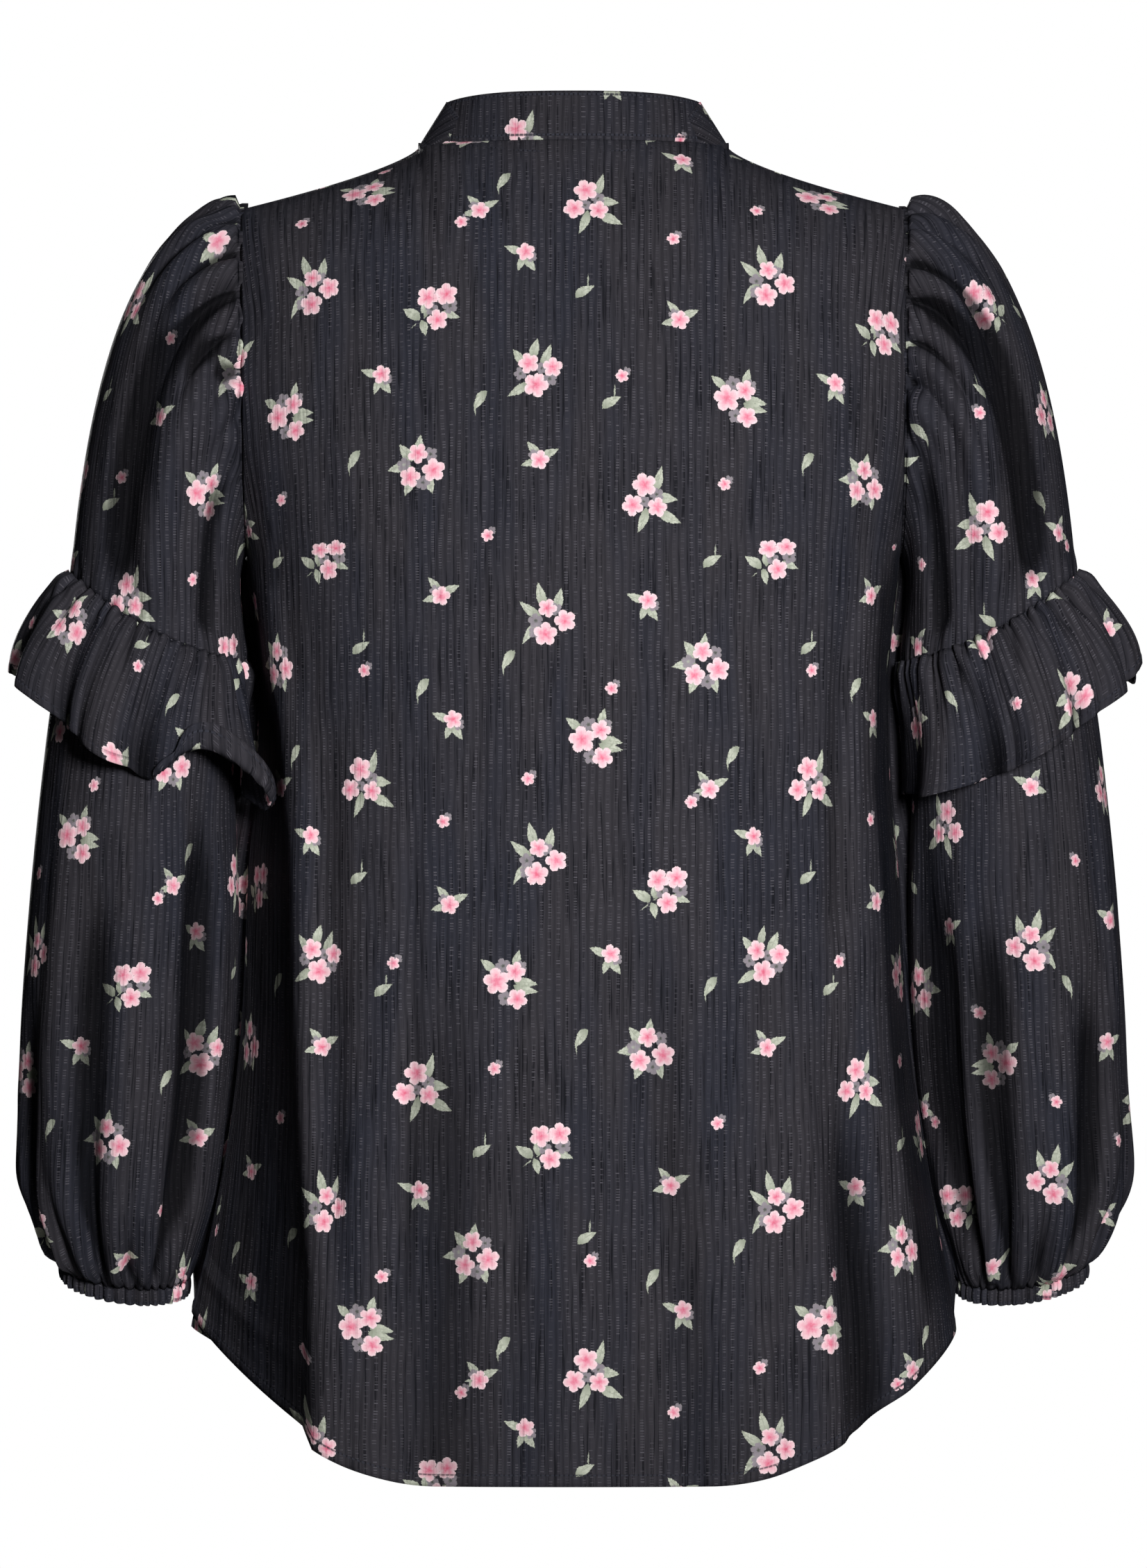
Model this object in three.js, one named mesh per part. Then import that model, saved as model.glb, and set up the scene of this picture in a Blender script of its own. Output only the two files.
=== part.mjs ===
// Long-sleeved blouse with a stand collar, a ruffle in each sleeve and gathered cuffs.
// It is filled out as it is when worn, with nothing inside it.
// Millimetres, +Z up. The blouse faces -Y, so its back is on +Y and its left sleeve on +X.
// The origin is the middle of the neck opening, at the height where the shoulders meet the collar.
// Every piece is a thin wall of cloth, worked out from rings and sections, 0.3 mm from the next piece.

import * as THREE from 'three';

// Cloth
const WALL = 1.6;
const COLLAR_WALL = 2;
const SEAM_GAP = 0.3;
const EDGE_SET_BACK = 0.28;

// Neck and shoulders
const NECK_HALF_WIDTH = 88;
const NECK_BACK_REACH = 62;
const NECK_FRONT_REACH = 80;
const NECK_FRONT_DROP = 60;
const SHOULDER_FORWARD = 3;
const SHOULDER_HALF_WIDTH = 190;
const SHOULDER_DROP = 36;
const SHOULDER_CURVE = 0.7;
const NECK_SHARE = 0.37;
const COLLAR_HEIGHT = 28;
const COLLAR_LEAN = 15;
const COLLAR_CORNER = 5;
const COLLAR_SIDE_DIP = 4;
const COLLAR_CORNER_SHARE = 0.08;
const COLLAR_FRONT_INSET = 0.48;
const COLLAR_FRONT_RAISE = 0.64;
const SLIT_SHARE = 0.03;
const SLIT_REACH = 0.87;
const SHOULDER_SQUARENESS = { neck: 1.35, tip: 2.2 };

// Armhole, an upright oval beside the body
const ARMHOLE_MIDDLE = 136;
const ARMHOLE_HALF_HEIGHT = 100;
const ARMHOLE_BACK = 58;
const ARMHOLE_FRONT = 62;
const ARMHOLE_GAP = 1.9;
const UNDERARM = ARMHOLE_MIDDLE + ARMHOLE_HALF_HEIGHT;
const CHEST = 100;

// Body
const BODY_SQUARENESS = 2.4;
const HEM_SIDE = 678;
const HEM_BACK = 760;
const HEM_FRONT = 746;
const HEM_FLAT_SHARE = 0.26;

// Half widths and depths of the body, by the distance below the neck
const BODY = [
  { down: 100, left: 189, right: 189, back: 104, front: 105 },
  { down: 236, left: 187, right: 187, back: 116, front: 124 },
  { down: 300, left: 181, right: 181, back: 118, front: 124 },
  { down: 370, left: 182, right: 182, back: 118, front: 121 },
  { down: 410, left: 187, right: 187, back: 119, front: 120 },
  { down: 510, left: 191, right: 192, back: 122, front: 122 },
  { down: 591, left: 201, right: 204, back: 127, front: 127 },
  { down: 646, left: 211, right: 214, back: 132, front: 131 },
  { down: 678, left: 219, right: 219, back: 135, front: 133 },
  { down: 762, left: 226, right: 225, back: 141, front: 138 },
];

// Hanging folds of the body: share of the way from the middle to the side seam at the fold's
// two ends, the heights between which it runs, its half width in the same share, and its depth.
// A roll that stands out beside a fold has a depth below zero.
const BODY_FOLDS = [
  { panel: 'back', shareTop: 0.90, shareHem: 0.88, top: 340, bottom: 650, width: 0.10, depth: -10 },
  { panel: 'back', shareTop: -0.91, shareHem: -0.90, top: 340, bottom: 650, width: 0.09, depth: -9 },
  { panel: 'back', shareTop: 0.80, shareHem: 0.64, top: 280, bottom: 860, width: 0.10, depth: 17 },
  { panel: 'back', shareTop: -0.84, shareHem: -0.80, top: 210, bottom: 720, width: 0.10, depth: 15 },
  { panel: 'back', shareTop: -0.60, shareHem: -0.60, top: 480, bottom: 860, width: 0.12, depth: 7 },
  { panel: 'back', shareTop: 0.30, shareHem: 0.22, top: 420, bottom: 860, width: 0.16, depth: 4 },
  { panel: 'front', shareTop: 0.62, shareHem: 0.66, top: 260, bottom: 860, width: 0.12, depth: 9 },
  { panel: 'front', shareTop: -0.66, shareHem: -0.60, top: 300, bottom: 860, width: 0.12, depth: 10 },
  { panel: 'front', shareTop: -0.18, shareHem: -0.26, top: 330, bottom: 860, width: 0.15, depth: 5 },
];

// Sleeve rings from the ruffle's seam to the cuff: middle, half sizes, and how much the ring
// rises outwards, falls backwards and bows down at the back and front
const SEAM_RING = { out: 238.5, back: -2, down: 271, wide: 50, deep: 62, rise: 0.505, fall: 0, bow: 8 };
const CUFF_RING = { out: 259, back: -30, down: 645, wide: 36, deep: 28, rise: 0.13, fall: 0.36, bow: 0 };
const LOWER_RINGS = [
  SEAM_RING,
  { out: 243, back: -3, down: 300, wide: 51, deep: 64, rise: 0.40, fall: 0.02, bow: 6 },
  { out: 249, back: -5, down: 352, wide: 54, deep: 66, rise: 0.18, fall: 0.05, bow: 2 },
  { out: 253, back: -10, down: 440, wide: 60, deep: 68, rise: 0.05, fall: 0.10, bow: 0 },
  { out: 258, back: -17, down: 530, wide: 61, deep: 67, rise: 0.02, fall: 0.16, bow: 0 },
  { out: 262, back: -23, down: 592, wide: 55, deep: 59, rise: 0.03, fall: 0.22, bow: 0 },
  { out: 261, back: -28, down: 626, wide: 44, deep: 44, rise: 0.08, fall: 0.30, bow: 0 },
  CUFF_RING,
];
const CUFF_HEIGHT = 9;

// How an upper sleeve's columns leave the armhole and meet the seam ring: the pull outwards,
// backwards and up at the underarm (low) and over the shoulder (high)
const SLEEVE_LEAVE = { outLow: 7, outHigh: 60, back: 14, upLow: -14, upHigh: 0 };
const SLEEVE_ARRIVE = { inHigh: 10, back: 5, upLow: 22, upHigh: 116 };

// Where the head of the sleeve is gathered, in shares of the turn, and how far the gathers run
const HEAD_GATHERED = { from: 0.16, full: 0.34 };
const HEAD_GATHER_RUN = { full: 0.25, end: 0.6 };

// Ruffle, from the seam ring to its hem
const RUFFLE_HEM = { out: 256.5, back: -2, down: 337, wide: 64, deep: 82, rise: 0.52, fall: 0, bow: 17 };

// Deep waves of the ruffle's hem: share of the turn from the underarm round the back,
// half width in the same share, reach outwards, and how far the inner end is turned up
const RUFFLE_WAVES = {
  left: [
    { turn: 0.115, width: 0.060, reach: 42, lift: 16 },
    { turn: 0.21, width: 0.045, reach: -9, lift: 0 },
    { turn: 0.30, width: 0.050, reach: 8, lift: 0 },
    { turn: 0.39, width: 0.040, reach: -7, lift: 0 },
    { turn: 0.56, width: 0.045, reach: -9, lift: 0 },
    { turn: 0.64, width: 0.050, reach: 8, lift: 0 },
    { turn: 0.73, width: 0.045, reach: -8, lift: 0 },
    { turn: 0.81, width: 0.045, reach: 9, lift: 0 },
    { turn: 0.90, width: 0.040, reach: 8, lift: 0 },
  ],
  right: [
    { turn: 0.12, width: 0.060, reach: 38, lift: 6 },
    { turn: 0.22, width: 0.045, reach: -10, lift: 0 },
    { turn: 0.32, width: 0.050, reach: 7, lift: 0 },
    { turn: 0.43, width: 0.035, reach: -8, lift: 0 },
    { turn: 0.58, width: 0.045, reach: -8, lift: 0 },
    { turn: 0.67, width: 0.050, reach: 9, lift: 0 },
    { turn: 0.76, width: 0.045, reach: -8, lift: 0 },
    { turn: 0.84, width: 0.045, reach: 8, lift: 0 },
    { turn: 0.91, width: 0.040, reach: 7, lift: 0 },
  ],
};

// Hanging folds of the lower sleeves, in shares of the turn, with their depth
const SLEEVE_FOLDS = {
  left: [
    { turn: 0.30, top: 380, bottom: 640, width: 0.055, depth: 7 },
    { turn: 0.43, top: 470, bottom: 640, width: 0.045, depth: 6 },
    { turn: 0.14, top: 420, bottom: 640, width: 0.050, depth: 6 },
    { turn: 0.68, top: 400, bottom: 640, width: 0.050, depth: 7 },
    { turn: 0.84, top: 440, bottom: 640, width: 0.050, depth: 6 },
  ],
  right: [
    { turn: 0.20, top: 400, bottom: 640, width: 0.055, depth: 8 },
    { turn: 0.36, top: 450, bottom: 640, width: 0.050, depth: 6 },
    { turn: 0.47, top: 430, bottom: 640, width: 0.040, depth: 5 },
    { turn: 0.64, top: 400, bottom: 640, width: 0.050, depth: 7 },
    { turn: 0.80, top: 430, bottom: 640, width: 0.050, depth: 7 },
  ],
};

// Gathers: waves round the whole piece, drawn as one peak and one hollow each
const HEAD_GATHERS = 22;
const RUFFLE_GATHERS = 28;
const CUFF_GATHERS = 28;

// Height of the gathers' waves from hollow to peak
const HEAD_RIPPLE = 4.4;
const RUFFLE_RIPPLE = 2.5;
const HEM_RIPPLE = 3.6;
const CUFF_RIPPLE = 2.5;
const BLOUSED_RIPPLE = 5;

// Grid of each piece
const BODY_COLUMNS = 36;
const BODY_ROWS = { skirt: 6, armhole: 4, shoulder: 4 };
const HEAD_ROWS = 7;
const RUFFLE_ROWS = 3;
const COLLAR_COLUMNS = 34;
const COLLAR_ROWS = 2;
const RING_SAMPLES = 40;

const SIDES = [
  { name: 'left', sign: 1 },
  { name: 'right', sign: -1 },
];

function mix(a, b, share) {
  return a + (b - a) * share;
}

function fade(from, to, value) {
  return THREE.MathUtils.smoothstep(value, Math.min(from, to), Math.max(from, to));
}

// A soft bump, 1 in its middle and 0 past its half width
function bump(distance, halfWidth) {
  const share = Math.min(1, Math.abs(distance) / halfWidth);
  return 0.5 + 0.5 * Math.cos(Math.PI * share);
}

// A column of a table at any height, on a smooth curve through its rows
function along(rows, key, down) {
  let i = 0;
  while (i < rows.length - 2 && down > rows[i + 1].down) {
    i += 1;
  }
  const before = rows[Math.max(0, i - 1)];
  const start = rows[i];
  const end = rows[i + 1];
  const after = rows[Math.min(rows.length - 1, i + 2)];
  const span = end.down - start.down;
  const t = THREE.MathUtils.clamp((down - start.down) / span, 0, 1);
  const startSlope = (end[key] - before[key]) / (end.down - before.down);
  const endSlope = (after[key] - start[key]) / (after.down - start.down);
  const t2 = t * t;
  const t3 = t2 * t;
  return (2 * t3 - 3 * t2 + 1) * start[key] + (t3 - 2 * t2 + t) * span * startSlope
    + (3 * t2 - 2 * t3) * end[key] + (t3 - t2) * span * endSlope;
}

// A point on a rounded section, at a share of its length from the middle of the panel.
// The section runs from the panel's middle (0, depth) to its edge (edgeWidth, edgeDepth).
function sectionPoint(edgeWidth, edgeDepth, depth, share) {
  const power = 2 / BODY_SQUARENESS;
  const edgeAngle = Math.acos(Math.pow(edgeDepth / depth, 1 / power));
  const halfWidth = edgeWidth / Math.pow(Math.sin(edgeAngle), power);
  const points = [];
  for (let i = 0; i <= RING_SAMPLES; i += 1) {
    const angle = edgeAngle * i / RING_SAMPLES;
    const width = halfWidth * Math.pow(Math.sin(angle), power);
    points.push(new THREE.Vector2(width, depth * Math.pow(Math.cos(angle), power)));
  }
  return pointAtShare(points, share);
}

function pointAtShare(points, share) {
  const lengths = [0];
  for (let i = 1; i < points.length; i += 1) {
    lengths.push(lengths[i - 1] + points[i].distanceTo(points[i - 1]));
  }
  const wanted = share * lengths[lengths.length - 1];
  let i = 1;
  while (i < points.length - 1 && lengths[i] < wanted) {
    i += 1;
  }
  const t = (wanted - lengths[i - 1]) / (lengths[i] - lengths[i - 1]);
  return points[i - 1].clone().lerp(points[i], t);
}

// The hem's distance below the neck, high at the side seams and low in the middle
function hemDown(panel, share) {
  const middle = panel.name === 'back' ? HEM_BACK : HEM_FRONT;
  const rise = Math.max(0, Math.abs(share) - HEM_FLAT_SHARE) / (1 - HEM_FLAT_SHARE);
  return mix(middle, HEM_SIDE, Math.pow(Math.sin(0.5 * Math.PI * rise), 2));
}

// The neck and shoulder seam, from the middle of the panel to the shoulder's tip
function topSeam(panel, share) {
  const out = Math.abs(share);
  if (out <= NECK_SHARE) {
    const angle = 0.5 * Math.PI * out / NECK_SHARE;
    const drop = panel.neckDrop * Math.pow(Math.cos(angle), 2);
    const reach = mix(-panel.facing * SHOULDER_FORWARD, panel.neckReach, Math.cos(angle));
    return { width: NECK_HALF_WIDTH * Math.sin(angle), depth: reach, down: drop };
  }
  const run = (out - NECK_SHARE) / (1 - NECK_SHARE);
  return {
    width: mix(NECK_HALF_WIDTH, SHOULDER_HALF_WIDTH, run),
    depth: -panel.facing * SHOULDER_FORWARD,
    down: SHOULDER_DROP * Math.pow(run, SHOULDER_CURVE),
  };
}

const PANELS = {
  back: { name: 'back', facing: 1, neckReach: NECK_BACK_REACH, neckDrop: 0, armhole: ARMHOLE_BACK },
  front: {
    name: 'front', facing: -1, neckReach: NECK_FRONT_REACH, neckDrop: NECK_FRONT_DROP, armhole: ARMHOLE_FRONT,
  },
};

// The way out of a rounded section at one of its points
function outwardFrom(place, width, depth) {
  const power = BODY_SQUARENESS - 1;
  const across = Math.pow(place.x / width, power) / width;
  const back = Math.pow(place.y / depth, power) / depth;
  return new THREE.Vector2(across, back).normalize();
}

// How far the body's folds sink the cloth at a place
function foldDepth(panel, share, down) {
  let depth = 0;
  for (const fold of BODY_FOLDS) {
    if (fold.panel === panel.name) {
      const run = (down - fold.top) / (fold.bottom - fold.top);
      const middle = mix(fold.shareTop, fold.shareHem, THREE.MathUtils.clamp(run, 0, 1));
      const strength = fade(0, 0.25, run) * (1 - fade(0.8, 1, run));
      depth += fold.depth * strength * bump(share - middle, fold.width);
    }
  }
  return depth;
}

// A point of the body at a share across the panel and a row up it.
// Rows: the skirt from hem to underarm, then beside the armhole, then over the shoulder.
function bodyPoint(panel, share, row) {
  const sideKey = share >= 0 ? 'left' : 'right';
  const sign = share >= 0 ? 1 : -1;
  const out = Math.abs(share);
  let down;
  let edgeDepth = 0;
  const armholeRow = row - BODY_ROWS.skirt;
  const shoulderRow = armholeRow - BODY_ROWS.armhole;
  const chestAngle = Math.acos((CHEST - ARMHOLE_MIDDLE) / ARMHOLE_HALF_HEIGHT);
  if (armholeRow <= 0) {
    down = mix(hemDown(panel, share), UNDERARM, row / BODY_ROWS.skirt);
  } else {
    const angle = chestAngle * Math.min(1, armholeRow / BODY_ROWS.armhole);
    down = ARMHOLE_MIDDLE + ARMHOLE_HALF_HEIGHT * Math.cos(angle);
    edgeDepth = panel.armhole * Math.sin(angle);
  }
  const depth = along(BODY, panel.name, down);
  const width = along(BODY, sideKey, down);
  const place = sectionPoint(width, edgeDepth, depth, out);
  place.addScaledVector(outwardFrom(place, width, depth), -foldDepth(panel, share, down));
  const point = new THREE.Vector3(sign * place.x, panel.facing * place.y, -down);
  if (shoulderRow > 0) {
    const turn = 0.5 * Math.PI * shoulderRow / BODY_ROWS.shoulder;
    const seam = topSeam(panel, share);
    const { neck, tip } = SHOULDER_SQUARENESS;
    const round = 2 / mix(neck, tip, fade(0, NECK_SHARE, out));
    const rise = Math.pow(Math.sin(turn), round);
    const depthLeft = Math.pow(Math.cos(turn), round);
    point.x = sign * mix(place.x, seam.width, shoulderRow / BODY_ROWS.shoulder);
    point.y = panel.facing * mix(seam.depth, place.y, depthLeft);
    point.z = mix(-down, -seam.down, rise);
  }
  point.y += panel.facing * EDGE_SET_BACK;
  return point;
}

const TOP_ROW = BODY_ROWS.skirt + BODY_ROWS.armhole + BODY_ROWS.shoulder;

// A closed wall of cloth on a grid of points, open or closed round its columns
function clothWall(points, closed, thickness) {
  const columns = points.length;
  const rows = points[0].length;
  const positions = [];
  const step = (i, by) => {
    if (closed) {
      return (i + by + columns) % columns;
    }
    return THREE.MathUtils.clamp(i + by, 0, columns - 1);
  };
  const sides = [0.5 * thickness, -0.5 * thickness];
  for (const offset of sides) {
    for (let i = 0; i < columns; i += 1) {
      for (let j = 0; j < rows; j += 1) {
        const acrossWay = points[step(i, 1)][j].clone().sub(points[step(i, -1)][j]);
        const upWay = points[i][Math.min(j + 1, rows - 1)].clone().sub(points[i][Math.max(j - 1, 0)]);
        const normal = acrossWay.cross(upWay).normalize();
        const point = points[i][j].clone().addScaledVector(normal, offset);
        positions.push(point.x, point.y, point.z);
      }
    }
  }
  const outer = (i, j) => step(i, 0) * rows + j;
  const inner = (i, j) => columns * rows + step(i, 0) * rows + j;
  const triangles = [];
  const quad = (a, b, c, d) => triangles.push(a, b, c, a, c, d);
  const lastColumn = closed ? columns : columns - 1;
  for (let i = 0; i < lastColumn; i += 1) {
    const next = step(i, 1);
    for (let j = 0; j < rows - 1; j += 1) {
      quad(outer(i, j), outer(next, j), outer(next, j + 1), outer(i, j + 1));
      quad(inner(i, j), inner(i, j + 1), inner(next, j + 1), inner(next, j));
    }
    quad(outer(next, 0), outer(i, 0), inner(i, 0), inner(next, 0));
    quad(outer(i, rows - 1), outer(next, rows - 1), inner(next, rows - 1), inner(i, rows - 1));
  }
  if (!closed) {
    for (let j = 0; j < rows - 1; j += 1) {
      quad(outer(0, j), outer(0, j + 1), inner(0, j + 1), inner(0, j));
      const last = columns - 1;
      quad(outer(last, j + 1), outer(last, j), inner(last, j), inner(last, j + 1));
    }
  }
  const geometry = new THREE.BufferGeometry();
  geometry.setAttribute('position', new THREE.Float32BufferAttribute(positions, 3));
  geometry.setIndex(facesOut(positions, triangles));
  geometry.computeVertexNormals();
  return geometry;
}

// The triangles turned so that the closed wall's volume is positive
function facesOut(positions, triangles) {
  let volume = 0;
  const corner = (k) => new THREE.Vector3().fromArray(positions, 3 * triangles[k]);
  for (let k = 0; k < triangles.length; k += 3) {
    volume += corner(k).dot(corner(k + 1).cross(corner(k + 2)));
  }
  if (volume > 0) {
    return triangles;
  }
  return triangles.slice().reverse();
}

function grid(columns, rows, pointAt) {
  const points = [];
  for (let i = 0; i < columns; i += 1) {
    const line = [];
    for (let j = 0; j < rows; j += 1) {
      line.push(pointAt(i, j));
    }
    points.push(line);
  }
  return points;
}

function backWall() {
  const points = grid(BODY_COLUMNS + 1, TOP_ROW + 1, (i, j) => {
    const share = 1 - 2 * i / BODY_COLUMNS;
    return bodyPoint(PANELS.back, share, j);
  });
  return clothWall(points, false, WALL);
}

// The front has two more columns, the edges of the slit below the middle of the collar
function frontWall() {
  const shares = [];
  for (let i = 0; i <= BODY_COLUMNS; i += 1) {
    shares.push(2 * i / BODY_COLUMNS - 1);
  }
  const middle = BODY_COLUMNS / 2;
  shares.splice(middle, 1, -SLIT_SHARE, 0, SLIT_SHARE);
  const points = grid(shares.length, TOP_ROW + 1, (i, j) => {
    const reach = shares[i] === 0 ? SLIT_REACH : 1;
    return bodyPoint(PANELS.front, shares[i], j * reach);
  });
  return clothWall(points, false, WALL);
}

// The stand collar follows the neck seam from one edge of the front slit round to the other
function collarWall() {
  const slitAngle = 0.5 * Math.PI * SLIT_SHARE / NECK_SHARE;
  const points = grid(COLLAR_COLUMNS + 1, COLLAR_ROWS + 1, (i, j) => {
    const turn = mix(-1, 1, i / COLLAR_COLUMNS) * (Math.PI - slitAngle);
    const panel = Math.abs(turn) < 0.5 * Math.PI ? PANELS.back : PANELS.front;
    const fromMiddle = panel === PANELS.back ? Math.abs(turn) : Math.PI - Math.abs(turn);
    const seam = topSeam(panel, NECK_SHARE * fromMiddle / (0.5 * Math.PI));
    const up = j / COLLAR_ROWS;
    const ends = 1 - Math.abs(mix(-1, 1, i / COLLAR_COLUMNS));
    const corner = COLLAR_CORNER * (1 - fade(0, COLLAR_CORNER_SHARE, ends));
    const dip = COLLAR_SIDE_DIP * Math.pow(Math.sin(turn), 4);
    const frontward = panel === PANELS.front ? 1 : 0;
    const point = new THREE.Vector3(Math.sign(turn) * seam.width, panel.facing * seam.depth, -seam.down);
    const inward = new THREE.Vector3(-point.x, -point.y, 0).normalize();
    point.addScaledVector(inward, COLLAR_LEAN * up + COLLAR_FRONT_INSET * frontward);
    point.z += SEAM_GAP + 0.5 * WALL + COLLAR_FRONT_RAISE * frontward;
    point.z += (COLLAR_HEIGHT - corner - dip) * up;
    return point;
  });
  return clothWall(points, false, COLLAR_WALL);
}

// A point of a sleeve ring: turn 0 is the underarm, 0.25 the back, 0.5 outside, 0.75 the front
function ringPoint(side, ring, turn, grow) {
  const angle = 2 * Math.PI * turn;
  const dx = -Math.cos(angle) * (ring.wide + grow);
  const dy = Math.sin(angle) * (ring.deep + grow);
  const bow = ring.bow * Math.pow(Math.sin(angle), 2);
  const height = -ring.down + ring.rise * dx - ring.fall * dy - bow;
  return new THREE.Vector3(side.sign * (ring.out + dx), ring.back + dy, height);
}

// The armhole's edge on the body, by a share of its length from the underarm round the back
function armholePoint(side, turn) {
  const points = [];
  const first = BODY_ROWS.skirt;
  const steps = 4 * (TOP_ROW - first);
  for (const panel of [PANELS.back, PANELS.front]) {
    for (let i = 0; i <= steps; i += 1) {
      const climb = panel === PANELS.back ? i : steps - i;
      points.push(bodyPoint(panel, side.sign, mix(first, TOP_ROW, climb / steps)));
    }
  }
  return pointAtShare(points, turn);
}

// Upper sleeve: each column leaves the armhole outwards and bends down to the seam ring
function upperSleeveWall(side) {
  const columns = 2 * HEAD_GATHERS;
  const points = grid(columns, HEAD_ROWS + 1, (i, j) => {
    const turn = i / columns;
    const v = 1 - j / HEAD_ROWS;
    const high = 0.5 - 0.5 * Math.cos(2 * Math.PI * turn);
    const back = Math.sin(2 * Math.PI * turn);
    const start = armholePoint(side, turn);
    start.x += side.sign * ARMHOLE_GAP;
    const end = ringPoint(side, SEAM_RING, turn, 0);
    end.z += SEAM_GAP;
    const leave = new THREE.Vector3(
      side.sign * mix(SLEEVE_LEAVE.outLow, SLEEVE_LEAVE.outHigh, high),
      SLEEVE_LEAVE.back * back,
      mix(SLEEVE_LEAVE.upLow, SLEEVE_LEAVE.upHigh, high),
    );
    const arrive = new THREE.Vector3(
      -side.sign * SLEEVE_ARRIVE.inHigh * high,
      SLEEVE_ARRIVE.back * back,
      mix(SLEEVE_ARRIVE.upLow, SLEEVE_ARRIVE.upHigh, high),
    );
    const curve = new THREE.CubicBezierCurve3(
      start, start.clone().add(leave), end.clone().add(arrive), end,
    );
    const point = curve.getPoint(v);
    const { from, full } = HEAD_GATHERED;
    const gathered = fade(from, full, turn) * (1 - fade(1 - full, 1 - from, turn));
    const running = 1 - fade(HEAD_GATHER_RUN.full, HEAD_GATHER_RUN.end, v);
    const ripple = (i % 2 === 0 ? 1 : -1) * gathered * running * fade(0, 0.12, v + 0.06);
    const outward = new THREE.Vector3(0, point.y, point.z + ARMHOLE_MIDDLE).normalize();
    point.addScaledVector(outward, 0.5 * HEAD_RIPPLE * ripple);
    return point;
  });
  return clothWall(points, true, WALL);
}

function ripples(i, height) {
  return (i % 2 === 0 ? 0.5 : -0.5) * height;
}

function lowerSleeveWall(side) {
  const columns = 2 * CUFF_GATHERS;
  const rows = LOWER_RINGS.length;
  const points = grid(columns, rows, (i, j) => {
    const turn = i / columns;
    const ring = LOWER_RINGS[j];
    let grow = 0;
    for (const fold of SLEEVE_FOLDS[side.name]) {
      const run = (ring.down - fold.top) / (fold.bottom - fold.top);
      const round = Math.abs(turn - fold.turn);
      grow -= fold.depth * fade(0, 0.4, run) * (1 - fade(0.85, 1, run)) * bump(round, fold.width);
    }
    const gathered = fade(520, 645, ring.down);
    const height = ring === CUFF_RING ? CUFF_RIPPLE : BLOUSED_RIPPLE * gathered;
    const point = ringPoint(side, ring, turn, grow + ripples(i, height));
    if (j === 0) {
      point.z -= SEAM_GAP;
    }
    return point;
  });
  return clothWall(points, true, WALL);
}

function cuffWall(side) {
  const columns = 2 * CUFF_GATHERS;
  const points = grid(columns, 2, (i, j) => {
    const ring = { ...CUFF_RING, down: CUFF_RING.down + 3 * SEAM_GAP + CUFF_HEIGHT * j };
    return ringPoint(side, ring, i / columns, ripples(i, CUFF_RIPPLE));
  });
  return clothWall(points, true, WALL);
}

// Ruffle: fine gathers at the seam that open into deep waves at the hem
function ruffleWall(side) {
  const columns = 2 * RUFFLE_GATHERS;
  const points = grid(columns, RUFFLE_ROWS + 1, (i, j) => {
    const turn = i / columns;
    const v = j / RUFFLE_ROWS;
    const ring = {};
    for (const key of Object.keys(SEAM_RING)) {
      ring[key] = mix(SEAM_RING[key], RUFFLE_HEM[key], key === 'down' ? v : Math.sin(0.5 * Math.PI * v));
    }
    let grow = WALL + SEAM_GAP + 0.5 * RUFFLE_RIPPLE;
    let lift = 0;
    for (const wave of RUFFLE_WAVES[side.name]) {
      const round = Math.min(Math.abs(turn - wave.turn), 1 - Math.abs(turn - wave.turn));
      grow += wave.reach * v * bump(round, wave.width);
      lift += wave.lift * v * bump(round, wave.width);
    }
    const point = ringPoint(side, ring, turn, grow + ripples(i, mix(RUFFLE_RIPPLE, HEM_RIPPLE, v)));
    point.z += lift;
    return point;
  });
  return clothWall(points, true, WALL);
}

const blouse = new THREE.Group();
blouse.name = 'blouse';

function cloth(name, colour) {
  return new THREE.MeshStandardMaterial({ name, color: colour, roughness: 0.86, metalness: 0 });
}

function addPiece(name, geometry, colour) {
  const piece = new THREE.Mesh(geometry, cloth('printed crinkle cotton', colour));
  piece.name = name;
  blouse.add(piece);
}

addPiece('back', backWall(), 0x27262b);
addPiece('front', frontWall(), 0x26252a);
addPiece('collar', collarWall(), 0x242328);
for (const side of SIDES) {
  addPiece(`upper_sleeve_${side.name}`, upperSleeveWall(side), 0x25252a);
  addPiece(`ruffle_${side.name}`, ruffleWall(side), 0x232328);
  addPiece(`lower_sleeve_${side.name}`, lowerSleeveWall(side), 0x222227);
  addPiece(`cuff_${side.name}`, cuffWall(side), 0x202025);
}

export default blouse;
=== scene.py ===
"""Dressing for a long-sleeved blouse of printed crinkle cotton, filled out as it is when worn.

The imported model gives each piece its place. Here each cloth piece is built again as a fine sheet,
with its folds, gathers and waves, and is dressed with one printed cotton finish. Shapes are worked
out in millimetres and stored in metres. The blouse faces -Y and its left sleeve is on +X.
"""

from __future__ import annotations

import logging
import math
from dataclasses import dataclass, field
from enum import Enum

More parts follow.
